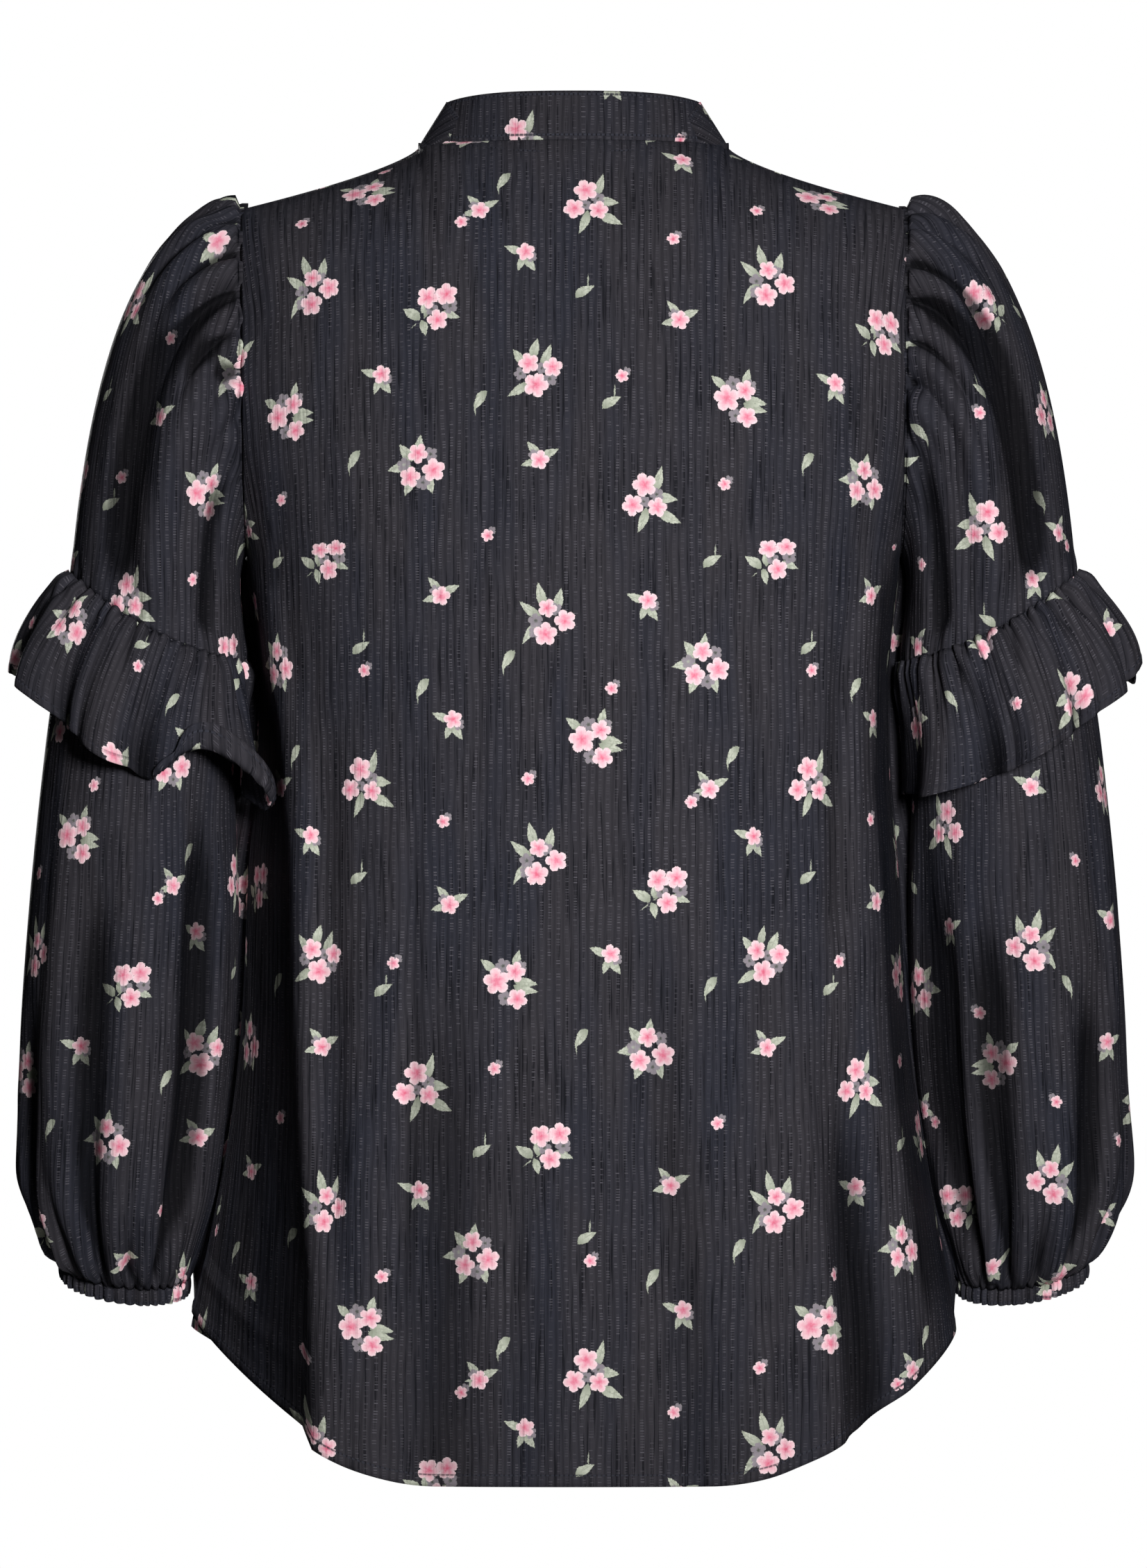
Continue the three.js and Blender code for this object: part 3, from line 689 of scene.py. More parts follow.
    def top_seam(self, share: Array) -> tuple[Array, Array, Array]:
        """The neck and shoulder seam: half width, depth and distance below the neck."""
        out = np.abs(share)
        angle = 0.5 * np.pi * np.minimum(1.0, out / self.NECK_SHARE)
        run = np.clip((out - self.NECK_SHARE) / (1.0 - self.NECK_SHARE), 0.0, 1.0)
        forward = -self.panel.value * self.SHOULDER_FORWARD
        width = self.collar_width * np.sin(angle) + (self.SHOULDER_HALF_WIDTH - self.collar_width) * run
        depth = mix(forward, self.neck_reach, np.cos(angle))
        down = self.neck_drop * np.cos(angle) ** 2 + self.SHOULDER_DROP * run**self.SHOULDER_CURVE
        return width, depth, down

    def section(self, width: Array, edge_depth: Array, depth: Array, share: Array) -> tuple[Array, Array]:
        """Points on rounded sections, at shares of their length from the panel's middle.

        Args:
            width: Half width of each section at its edge.
            edge_depth: Depth of each section at its edge.
            depth: Depth of each section in its middle.
            share: Share of the length wanted on each, from 0 to 1.

        Returns:
            The points' distances from the middle and their depths.
        """
        samples = np.linspace(0.0, 1.0, self.SECTION_SAMPLES)
        power = 2.0 / self.SQUARENESS
        edge_angle = np.arccos((edge_depth / depth) ** (1.0 / power))
        half = width / np.sin(edge_angle) ** power
        angle = edge_angle[:, None] * samples
        x = half[:, None] * np.sin(angle) ** power
        y = depth[:, None] * np.maximum(np.cos(angle), 0.0) ** power
        length = lengths_along(np.stack([x, y], -1), 1)
        wanted = share * length[:, -1]
        i = np.clip((length < wanted[:, None]).sum(axis=1), 1, len(samples) - 1)
        line = np.arange(len(i))
        t = (wanted - length[line, i - 1]) / (length[line, i] - length[line, i - 1])
        return mix(x[line, i - 1], x[line, i], t), mix(y[line, i - 1], y[line, i], t)

    def point(self, share: Array, row: Array) -> Array:
        """Points of the body before its folds.

        Args:
            share: Share across the panel, from -1 at the right side seam to 1 at the left.
            row: Row up the panel: skirt, then beside the armhole, then over the shoulder.

        Returns:
            The points, in millimetres.
        """
        share, row = np.broadcast_arrays(np.asarray(share, float), np.asarray(row, float))
        shape, share, row = share.shape, share.ravel(), row.ravel()
        out, sign, facing = np.abs(share), np.where(share >= 0, 1.0, -1.0), self.panel.value
        beside = row - self.SKIRT
        chest_angle = math.acos((self.CHEST - self.ARMHOLE_MIDDLE) / self.ARMHOLE_HALF_HEIGHT)
        angle = chest_angle * np.clip(beside / self.ARMHOLE, 0.0, 1.0)
        skirt_down = mix(self.hem_down(share), self.UNDERARM, row / self.SKIRT)
        armhole_down = self.ARMHOLE_MIDDLE + self.ARMHOLE_HALF_HEIGHT * np.cos(angle)
        down = np.where(beside <= 0, skirt_down, armhole_down)
        edge_depth = self.armhole_depth * np.sin(angle)
        depth = smooth_column(self.SECTIONS, 3 if self.panel is Panel.BACK else 4, down)
        left, right = (smooth_column(self.SECTIONS, column, down) for column in (1, 2))
        x, y = self.section(np.where(share >= 0, left, right), edge_depth, depth, out)
        rows_over = np.clip((beside - self.ARMHOLE) / self.SHOULDER, 0.0, 1.0)
        turn = 0.5 * np.pi * rows_over
        seam_width, seam_depth, seam_down = self.top_seam(share)
        round_power = 2.0 / mix(*self.SHOULDER_ROUNDNESS, fade(0.0, self.NECK_SHARE, out))
        rise = np.sin(turn) ** round_power
        depth_left = np.maximum(np.cos(turn), 0.0) ** round_power
        over = rows_over > 0
        px = np.where(over, mix(x, seam_width, rows_over), x) * sign
        py = np.where(over, mix(seam_depth, facing * y, depth_left), facing * y)
        pz = np.where(over, mix(-down, -seam_down, rise), -down)
        return np.stack([px, py + facing * self.EDGE_SET_BACK, pz], -1).reshape(*shape, 3)

    def row_values(self) -> Array:
        """The fine grid's rows, with close ones at the hem for its stitched edge."""
        skirt, beside = round(self.SKIRT_ROWS * self.rows), round(self.BESIDE_ROWS * self.rows)
        hem = np.array([0.0, 0.035, 0.075, 0.10])
        return np.concatenate([
            hem,
            np.linspace(0.14, self.SKIRT, skirt - 4, endpoint=False),
            np.linspace(self.SKIRT, self.SKIRT + self.ARMHOLE, beside, endpoint=False),
            np.linspace(self.SKIRT + self.ARMHOLE, self.TOP, self.rows - skirt - beside + 1),
        ])

    def share_values(self) -> Array:
        """The fine grid's columns."""
        return np.linspace(-1.0, 1.0, self.columns + 1)

    def fold_reach(self, points: Array, share: Array) -> Array:
        """How far the folds move the cloth outwards at each place."""
        down = -points[..., 2]
        reach = np.zeros(down.shape)
        for fold in self.FOLDS:
            if fold.panel is self.panel:
                run = (down - fold.top) / (fold.bottom - fold.top)
                middle = mix(fold.share_top, fold.share_hem, np.clip(run, 0.0, 1.0))
                strength = fade(0.0, fold.start, run) * (1.0 - fade(0.8, 1.0, run))
                reach -= fold.depth * strength * bump(share - middle, fold.width)
        return reach * (1.0 - fade(0.94, 1.0, np.abs(share)))

    def turn_folds(self, points: Array) -> Array:
        """The points with the long turned folds."""
        if self.panel is Panel.BACK:
            for row in range(points.shape[1]):
                for fold in self.TURNED:
                    points[:, row] = fold.turn(points[:, row])
        return points

    def relax(self, points: Array, share: Array, rounds: int = 14) -> Array:
        """Rounds off the level creases between the rows' zones, with the edges left as they are."""
        weight = (0.5 * (1.0 - fade(0.88, 1.0, np.abs(share))))[:, 1:-1, None]
        for _ in range(rounds):
            middle = 0.5 * (points[:, :-2] + points[:, 2:])
            points[:, 1:-1] += weight * (middle - points[:, 1:-1])
        return points

    def shape(self) -> ClothGrid:
        """The panel's fine grid with its folds, hem and neck stitching."""
        share, row = np.meshgrid(self.share_values(), self.row_values(), indexing="ij")
        points = self.relax(self.point(share, row), share)
        cloth = ClothGrid(points, share, row)
        facing_out = np.sign(grid_normals(points, False)[len(points) // 2, 20, 1]) * self.panel.value
        # A share of the folds' depth is darkened as painted shade
        cloth.push(self.fold_reach(points, share), facing_out, self.FOLD_SHADE_SHARE)
        cloth.points = self.turn_folds(cloth.points)
        climb = lengths_along(points, 1)
        turned_up = 0.35 * (1.0 - fade(self.HEM_WIDTH - 1.0, self.HEM_WIDTH + 0.4, climb))
        cloth.push(turned_up, facing_out)
        if self.panel is Panel.BACK:
            # Painted shade just outside the turned folds' edges
            cloth.hollow += sum(fold.painted_edge_shade(points) for fold in self.TURNED)
        over = np.clip((row - self.SKIRT - self.ARMHOLE) / self.SHOULDER, 0.0, 1.0)
        steps = np.diff(points, axis=0)
        level = np.hypot(steps[..., 0], steps[..., 1] * (1.0 - 0.5 * (over[1:] + over[:-1])))
        across = np.concatenate([np.zeros((1, level.shape[1])), np.cumsum(level, axis=0)])
        middle = len(across) // 2
        cloth.across = (across - across[middle]) * self.panel.value
        at_underarm = np.argmin(np.abs(self.row_values() - self.SKIRT))
        cloth.along = climb - climb[:, at_underarm : at_underarm + 1] - self.UNDERARM
        from_top = climb[:, -1:] - climb
        near_neck = np.where(np.abs(share) < self.NECK_SHARE, np.abs(from_top - self.NECK_STITCH), 1000.0)
        cloth.stitch = np.minimum(np.abs(climb - self.HEM_WIDTH + 0.8), near_neck)
        return cloth


@dataclass
class Front(Body):
    """The front panel, with the short slit below the collar."""

    SLIT_REACH = 0.87

    def share_values(self) -> Array:
        """The columns, with the slit's two edges and its middle."""
        half = np.linspace(self.SLIT_SHARE, 1.0, self.columns // 2)
        return np.concatenate([-half[::-1], [0.0], half])

    def point(self, share: Array, row: Array) -> Array:
        """Points of the front, whose middle column stops at the slit's foot."""
        reach = np.where(np.abs(share) < 1e-6, self.SLIT_REACH, 1.0)
        return super().point(share, row * reach)

    def relax(self, points: Array, share: Array, rounds: int = 14) -> Array:
        """Rounds off the level creases and leaves the slit's middle column as it is."""
        slit = points[len(points) // 2].copy()
        points = super().relax(points, share, rounds)
        points[len(points) // 2] = slit
        return points

    def shape(self) -> ClothGrid:
        """The front's fine grid, with the print level across the slit's middle column."""
        cloth = super().shape()
        middle = len(cloth.points) // 2
        beside = cloth.points[middle + 1, :, 2]
        cloth.along[middle] = np.interp(cloth.points[middle, :, 2], beside, cloth.along[middle + 1])
        return cloth


@dataclass
class Collar(ClothPiece):
    """The stand collar, from one edge of the front slit round to the other."""

    back: Body = field(default_factory=lambda: Body("back", (1, 1), 1, "hung", 1, 1))
    front: Body = field(default_factory=lambda: Body("front", (1, 1), 1, "hung", 1, 1))
    height: float = 28.0
    lean: float = 15.0
    corner: float = 5.0
    side_dip: float = 4.0
    seam_gap: float = 0.3
    model_wall: float = 1.6

    def shape(self) -> ClothGrid:
        """The collar's fine grid."""
        slit_angle = 0.5 * np.pi * Body.SLIT_SHARE / Body.NECK_SHARE
        share, up = np.meshgrid(
            np.linspace(-1.0, 1.0, self.columns + 1), np.linspace(0.0, 1.0, self.rows + 1), indexing="ij"
        )
        turn = share * (np.pi - slit_angle)
        at_back = np.abs(turn) < 0.5 * np.pi
        from_middle = np.where(at_back, np.abs(turn), np.pi - np.abs(turn)) / (0.5 * np.pi)
        seams = [body.top_seam(Body.NECK_SHARE * from_middle) for body in (self.back, self.front)]
        width, depth, down = (np.where(at_back, a, b) for a, b in zip(*seams))
        frontward = np.where(at_back, 0.0, 1.0)
        corner = self.corner * (1.0 - fade(0.0, 0.06, 1.0 - np.abs(share)))
        dip = self.side_dip * np.sin(turn) ** 4
        x, y = np.sign(turn) * width, depth
        radius = np.maximum(np.hypot(x, y), 1e-6)
        inward = self.lean * up + 0.3 * self.model_wall * frontward
        z = -down + self.seam_gap + self.model_wall * (0.5 + 0.4 * frontward)
        z = z + (self.height - corner - dip) * up
        points = np.stack([x - x / radius * inward, y - y / radius * inward, z], -1)
        across = lengths_along(points, 0)
        across = across - across[len(across) // 2]
        edge = np.minimum(up, 1.0 - up) * self.height
        cloth = ClothGrid(points, across, up * self.height, stitch=np.abs(edge - 2.2))
        inwards = -math.copysign(1.6, grid_normals(points, False)[len(points) // 2, 0, 1])
        cloth.add_lip(False, 4.0, inwards, (0.0, 0.0, -1.0))
        return cloth


# Lengths round the armhole, the ruffle's seam and hem, the sleeve above the cuff, and the cuff, in mm
ARMHOLE_GIRTH, SEAM_GIRTH, HEM_GIRTH, WRIST_GIRTH, CUFF_GIRTH = 470.0, 352.0, 470.0, 330.0, 201.0

# Distance below the neck, outwards, backwards, half sizes, rise, fall and bow of a sleeve's rings
SEAM_RING = (271, 238.5, -2, 50, 62, 0.505, 0, 8)
CUFF_RING = (645, 259, -30, 36, 28, 0.13, 0.36, 0)
RUFFLE_HEM_RING = (337, 256.5, -2, 64, 82, 0.52, 0, 17)
LOWER_RINGS = np.array([
    SEAM_RING, (300, 243, -3, 51, 64, 0.40, 0.02, 6), (352, 249, -5, 54, 66, 0.18, 0.05, 2),
    (440, 253, -10, 60, 68, 0.05, 0.10, 0), (530, 258, -17, 61, 67, 0.02, 0.16, 0),
    (592, 262, -23, 55, 59, 0.03, 0.22, 0), (626, 261, -28, 44, 44, 0.08, 0.30, 0), CUFF_RING,
], dtype=float)


def ring_point(side: Side, ring: tuple | list, turn: Array, grow: Array | float) -> Array:
    """Points of sleeve rings: turn 0 is the underarm, 0.25 the back, 0.5 outside, 0.75 the front.

    Args:
        side: The wearer's side.
        ring: The ring's distance below the neck and its seven sizes, as numbers or arrays.
        turn: Places round the ring.
        grow: How much larger than its sizes the ring is.

    Returns:
        The points, in millimetres.
    """
    down, out, back, wide, deep, rise, fall, bow = ring
    angle = 2.0 * np.pi * turn
    dx, dy = -np.cos(angle) * (wide + grow), np.sin(angle) * (deep + grow)
    height = -down + rise * dx - fall * dy - bow * np.sin(angle) ** 2
    return np.stack([side.value * (out + dx), back + dy, height], -1)


@dataclass(frozen=True)
class Gather:
    """A pinched fold that starts at a seam: its place in turns, width and depth in mm, how far
    it runs in mm, and how far it drifts round by its end, in turns."""

    turn: float
    width: float
    depth: float
    run: float
    drift: float = 0.0

    SPREAD = 1.4
    ROLL_HEIGHT, ROLL_PLACE, ROLL_WIDTH, VALLEY_WIDTH = 0.5, 1.5, 0.8, 0.46

    def reach(self, turn: Array, away: Array, girth: float) -> Array:
        """How far the gather moves the cloth outwards: a narrow hollow between two rounded rolls.

        Args:
            turn: Places round the sleeve.
            away: Distances from the seam, in mm.
            girth: The sleeve's length round, in mm.

        Returns:
            The movement, in mm.
        """
        share = np.clip(away / self.run, 0.0, 1.0)
        spread = self.width * (1.0 + self.SPREAD * share)
        past = round_turn(turn, self.turn + self.drift * share) * girth / spread
        strength = self.depth * (1.0 - fade(0.15, 1.0, share))
        rolls = self.ROLL_HEIGHT * bell(np.abs(past) - self.ROLL_PLACE, self.ROLL_WIDTH)
        return strength * (rolls - bell(past, self.VALLEY_WIDTH))


def spread_gathers(
    count: int, seed: int, width: float, depth: float, run: tuple[float, float],
) -> list[Gather]:
    """Small gathers all round, uneven in place, depth and length.

    Args:
        count: How many there are.
        seed: Starts the unevenness, the same on each run.
        width: Their usual width, in mm.
        depth: Their usual depth, in mm.
        run: The shortest and the longest, in mm.

    Returns:
        The gathers.
    """
    chance = np.random.default_rng(seed)
    made = []
    for i in range(count):
        made.append(Gather(
            turn=(i + chance.uniform(-0.3, 0.3)) / count,
            width=width * chance.uniform(0.75, 1.3),
            depth=depth * chance.uniform(0.6, 1.25),
            run=chance.uniform(*run),
            drift=chance.uniform(-0.012, 0.012),
        ))
    return made


@dataclass
class UpperSleeve(ClothPiece):
    """The upper sleeve, gathered into the head of the armhole and sewn to the ruffle's seam."""

    side: Side = Side.LEFT
    cut_width: float = 370.0
    armhole_gap: float = 1.9
    seam_gap: float = 0.3

    HEAD = {
        Side.LEFT: (
            Gather(0.245, 4.5, 3.6, 48, -0.02), Gather(0.29, 4.0, 4.3, 68, -0.015),
            Gather(0.335, 4.5, 5.3, 96, -0.02),
            Gather(0.375, 4.0, 5.0, 80, 0.0), Gather(0.415, 4.5, 6.0, 104, 0.01),
            Gather(0.46, 4.0, 4.8, 64, 0.01),
            Gather(0.50, 4.0, 5.3, 76, 0.0), Gather(0.54, 4.0, 4.6, 56, 0.0),
            Gather(0.58, 4.5, 5.4, 88, 0.01),
            Gather(0.625, 4.0, 4.3, 60, 0.01), Gather(0.67, 4.0, 5.0, 80, 0.015),
            Gather(0.72, 4.5, 3.6, 52, 0.02),
        ),
        Side.RIGHT: (
            Gather(0.235, 4.5, 3.8, 76, 0.0), Gather(0.28, 4.5, 5.5, 120, -0.01),
            Gather(0.325, 4.5, 5.3, 88, -0.015),
            Gather(0.365, 4.0, 5.5, 132, -0.005), Gather(0.41, 4.0, 5.0, 72, 0.0),
            Gather(0.45, 4.5, 5.5, 96, 0.01),
            Gather(0.49, 4.0, 4.8, 64, 0.0), Gather(0.53, 4.0, 5.0, 80, 0.0),
            Gather(0.575, 4.5, 5.3, 72, 0.01),
            Gather(0.615, 4.0, 4.3, 88, 0.01), Gather(0.66, 4.0, 4.8, 64, 0.01),
            Gather(0.71, 4.5, 3.6, 48, 0.02),
        ),
    }
    # How far the cloth heads out of the armhole and into the seam, at the underarm and over the top
    LEAVE_OUT, LEAVE_BACK, LEAVE_DOWN = (7.0, 60.0), 14.0, 14.0
    ARRIVE_IN, ARRIVE_BACK, ARRIVE_UP = 10.0, 5.0, (22.0, 116.0)
    # Place in turns at the head and at the ruffle, how soon it starts, depth and half width in turns
    LONG_FOLDS = {
        Side.LEFT: (
            (0.19, 0.255, 0.10, 7.5, 0.055), (0.28, 0.335, 0.12, -7.0, 0.060),
            (0.14, 0.15, 0.35, -4.0, 0.045),
            (0.78, 0.78, 0.35, 6.0, 0.060), (0.66, 0.68, 0.30, -4.5, 0.050),
        ),
        Side.RIGHT: (
            (0.21, 0.262, 0.08, 8.0, 0.055), (0.31, 0.345, 0.10, -7.5, 0.060),
            (0.15, 0.15, 0.30, -4.5, 0.045),
            (0.76, 0.77, 0.35, 6.0, 0.060), (0.65, 0.67, 0.30, -4.5, 0.050),
        ),
    }

    def armhole(self, turn: Array) -> Array:
        """The armhole's edge on the body, at shares of its length from the underarm round the back."""
        rows = np.linspace(Body.SKIRT, Body.TOP, 121)
        back = BACK_PANEL.point(self.side.value, rows)
        front = FRONT_PANEL.point(self.side.value, rows[::-1])
        line = np.concatenate([back, front])
        length = lengths_along(line[None], 1)[0]
        wanted = turn * length[-1]
        return np.stack([np.interp(wanted, length, line[:, axis]) for axis in range(3)], -1)

    def shape(self) -> ClothGrid:
        """The sleeve's fine grid: each column leaves the armhole outwards and bends down."""
        turn, v = np.meshgrid(
            np.linspace(0.0, 1.0, self.columns + 1), np.linspace(1.0, 0.0, self.rows + 1), indexing="ij"
        )
        sign = self.side.value
        high = 0.5 - 0.5 * np.cos(2.0 * np.pi * turn)
        back = np.sin(2.0 * np.pi * turn)
        start = self.armhole(turn) + np.array([sign * self.armhole_gap, 0.0, 0.0])
        end = ring_point(self.side, SEAM_RING, turn, 0.0) + np.array([0.0, 0.0, self.seam_gap])
        leave = start + np.stack([
            sign * mix(*self.LEAVE_OUT, high), self.LEAVE_BACK * back, mix(-self.LEAVE_DOWN, 0.0, high),
        ], -1)
        arrive = end + np.stack([
            -sign * self.ARRIVE_IN * high, self.ARRIVE_BACK * back, mix(*self.ARRIVE_UP, high),
        ], -1)
        w = v[..., None]
        points = (1 - w) ** 3 * start + 3 * w * (1 - w) ** 2 * leave
        points = points + 3 * w**2 * (1 - w) * arrive + w**3 * end
        cloth = ClothGrid(points, turn * self.cut_width, v, closed=True)
        outside = self.outward(points)
        climb = lengths_along(points, 1)
        away = climb[:, -1:] - climb
        reach = np.zeros(turn.shape)
        for gather in self.HEAD[self.side]:
            reach += gather.reach(turn, away, ARMHOLE_GIRTH)
        for gather in HEAD_PUCKERS[self.side]:
            reach += high * gather.reach(turn, away, ARMHOLE_GIRTH)
        reach *= fade(0.0, 3.0, away + 1.2)
        for head, foot, start, depth, width in self.LONG_FOLDS[self.side]:
            middle = mix(head, foot, fade(0.0, 0.45, v))
            strength = depth * fade(0.0, start, v) * fade(0.0, 0.15, 1.0 - v)
            reach += strength * bump(round_turn(turn, middle), width)
        for gather in RUFFLE_SEAM[self.side]:
            reach += 0.3 * gather.reach(turn, climb, SEAM_GIRTH) * (1.0 - fade(4.0, 22.0, climb))
        # The gathers' full depth is darkened as painted shade
        cloth.push(reach, outside)
        upright = np.abs(back) ** 0.7
        out = sign * points[..., 0]
        back_side = np.where(turn < 0.5, 1.0, -1.0)
        cloth.across = turn * self.cut_width - back_side * upright * (out[:, :1] - out)
        height = points[..., 2]
        cloth.along = height[:, :1] + mix(climb, height - height[:, :1], upright)
        cloth.add_lip(True, 4.0, -1.5 * outside, (-sign, 0.0, 0.0))
        return cloth

    def outward(self, points: Array) -> float:
        """1 where the grid's normals look outwards, and -1 where they look inwards."""
        normals = grid_normals(points, True)
        middle = points.mean(axis=(0, 1))
        return float(np.sign((normals * (points - middle)).sum()))

    def inside(self) -> Vector:
        """A point inside the sleeve."""
        return Vector((self.side.value * 0.235, 0.0, -0.2))


@dataclass
class LowerSleeve(ClothPiece):
    """The full lower sleeve, from the ruffle's seam to the cuff's gathers."""

    side: Side = Side.LEFT
    cut_width: float = 410.0
    seam_gap: float = 0.3

    # Place in turns, top, bottom, half width in turns and depth of the long folds
    FOLDS = {
        Side.LEFT: (
            (0.30, 380, 640, 0.055, 6.5), (0.43, 470, 640, 0.045, 6), (0.13, 340, 640, 0.055, 10),
            (0.68, 400, 640, 0.05, 7), (0.84, 440, 640, 0.05, 6), (0.22, 300, 480, 0.04, -3),
            (0.37, 340, 560, 0.035, -3), (0.55, 360, 600, 0.04, 4), (0.93, 330, 560, 0.04, 4),
        ),
        Side.RIGHT: (
            (0.20, 400, 640, 0.055, 7.5), (0.36, 450, 640, 0.05, 7), (0.47, 430, 640, 0.04, 6),
            (0.12, 380, 640, 0.05, 8),
            (0.64, 400, 640, 0.05, 7), (0.80, 430, 640, 0.05, 7), (0.28, 310, 500, 0.04, -3.5),
            (0.42, 330, 520, 0.03, -2.5), (0.55, 350, 600, 0.04, 4), (0.08, 350, 590, 0.04, 4),
        ),
    }
    CUFF_FOLDS = {
        Side.LEFT: (
            Gather(0.17, 6.0, 6.8, 120, -0.03), Gather(0.235, 5.0, 5.4, 85, -0.02),
            Gather(0.285, 6.0, 7.2, 150, 0.015),
            Gather(0.345, 5.0, 5.7, 100, 0.03), Gather(0.40, 6.0, 6.9, 130, 0.03),
            Gather(0.47, 6.0, 6.3, 110, 0.02),
            Gather(0.58, 6.0, 6.3, 130, 0.0), Gather(0.68, 6.0, 6.9, 120, 0.02),
            Gather(0.77, 6.0, 6.3, 140, -0.02),
            Gather(0.87, 6.0, 6.6, 110, 0.0), Gather(0.97, 6.0, 6.3, 120, 0.02),
        ),
        Side.RIGHT: (
            Gather(0.15, 6.0, 6.3, 110, -0.02), Gather(0.21, 5.0, 6.9, 150, -0.025),
            Gather(0.275, 5.5, 6.3, 90, 0.0),
            Gather(0.33, 6.0, 7.2, 140, 0.02), Gather(0.395, 5.0, 5.7, 95, 0.03),
            Gather(0.455, 6.0, 6.6, 120, 0.02),
            Gather(0.56, 6.0, 6.3, 130, 0.0), Gather(0.66, 6.0, 6.6, 110, -0.02),
            Gather(0.76, 6.0, 6.6, 140, 0.02),
            Gather(0.86, 6.0, 6.3, 120, 0.0), Gather(0.96, 6.0, 6.6, 110, -0.02),
        ),
    }

    def shape(self) -> ClothGrid:
        """The sleeve's fine grid with its long folds and its gathers at both ends."""
        down_line = np.linspace(LOWER_RINGS[0, 0], LOWER_RINGS[-1, 0], self.rows + 1)
        turn, down = np.meshgrid(np.linspace(0.0, 1.0, self.columns + 1), down_line, indexing="ij")
        ring = [down] + [smooth_column(LOWER_RINGS, column, down) for column in range(1, 8)]
        blouse_out = 2.5 * bell(down - 606.0, 34.0)
        points = ring_point(self.side, ring, turn, blouse_out)
        points[..., 2] -= self.seam_gap * (1.0 - fade(271.0, 300.0, down))
        cloth = ClothGrid(points, turn * self.cut_width, -down, closed=True)
        climb = lengths_along(points, 1)
        above = climb[:, -1:] - climb
        reach = np.zeros(turn.shape)
        for middle, top, bottom, width, depth in self.FOLDS[self.side]:
            run = (down - top) / (bottom - top)
            strength = fade(0.0, 0.4, run) * (1.0 - fade(0.8, 1.0, run))
            reach -= depth * strength * bump(round_turn(turn, middle), width)
        for gather in self.CUFF_FOLDS[self.side]:
            reach += gather.reach(turn, above, WRIST_GIRTH) * fade(0.0, 16.0, above)
        for gather in CUFF_GATHERS[self.side]:
            reach += gather.reach(turn, above, CUFF_GIRTH)
        reach -= 1.0 * (1.0 - fade(0.0, 7.0, climb))
        outside = UpperSleeve.outward(self, points)
        # Seven tenths of the folds' depth is darkened as painted shade
        cloth.push(reach, outside, 0.7)
        cloth.along = points[:, :1, 2] - climb
        cloth.add_lip(False, 5.0, -1.0 * outside, (0.0, 0.0, 1.0))
        return cloth

    def inside(self) -> Vector:
        """A point inside the sleeve."""
        return Vector((self.side.value * 0.255, -0.012, -0.45))


@dataclass
class Cuff(ClothPiece):
    """The narrow gathered casing at the wrist."""

    side: Side = Side.LEFT
    cut_width: float = 410.0
    height: float = 9.0
    drop: float = 0.7

    def shape(self) -> ClothGrid:
        """The cuff's fine grid, gathered all the way and slightly rounded."""
        turn, v = np.meshgrid(
            np.linspace(0.0, 1.0, self.columns + 1), np.linspace(0.0, 1.0, self.rows + 1), indexing="ij"
        )
        down = CUFF_RING[0] + self.drop + self.height * v
        points = ring_point(self.side, (down, *CUFF_RING[1:]), turn, 0.7 * np.sin(np.pi * v))
        reach = np.zeros(turn.shape)
        for gather in CUFF_GATHERS[self.side]:
            reach += gather.reach(turn, 0.0 * v, CUFF_GIRTH)
        cloth = ClothGrid(points, turn * self.cut_width, -self.height * v, closed=True)
        outside = UpperSleeve.outward(self, points)
        # The gathers' full depth is darkened as painted shade
        cloth.push(reach, outside)
        cloth.stitch = np.abs(self.height * (1.0 - v) - 1.6)
        cloth.add_lip(False, 4.0, -1.3 * outside, (0.0, 0.0, 1.0))
        return cloth

    def inside(self) -> Vector:
        """A point inside the cuff."""
        return Vector((self.side.value * 0.259, -0.03, -0.65))


@dataclass(frozen=True)
class HemWave:
    """A broad wave of the ruffle's hem: place and half width in turns, reach, lift and curl in mm.

    The curl is how much of the hem is turned back up, so that its inside shows.
    """

    turn: float
    width: float
    reach: float
    lift: float = 0.0
    curl: float = 0.0


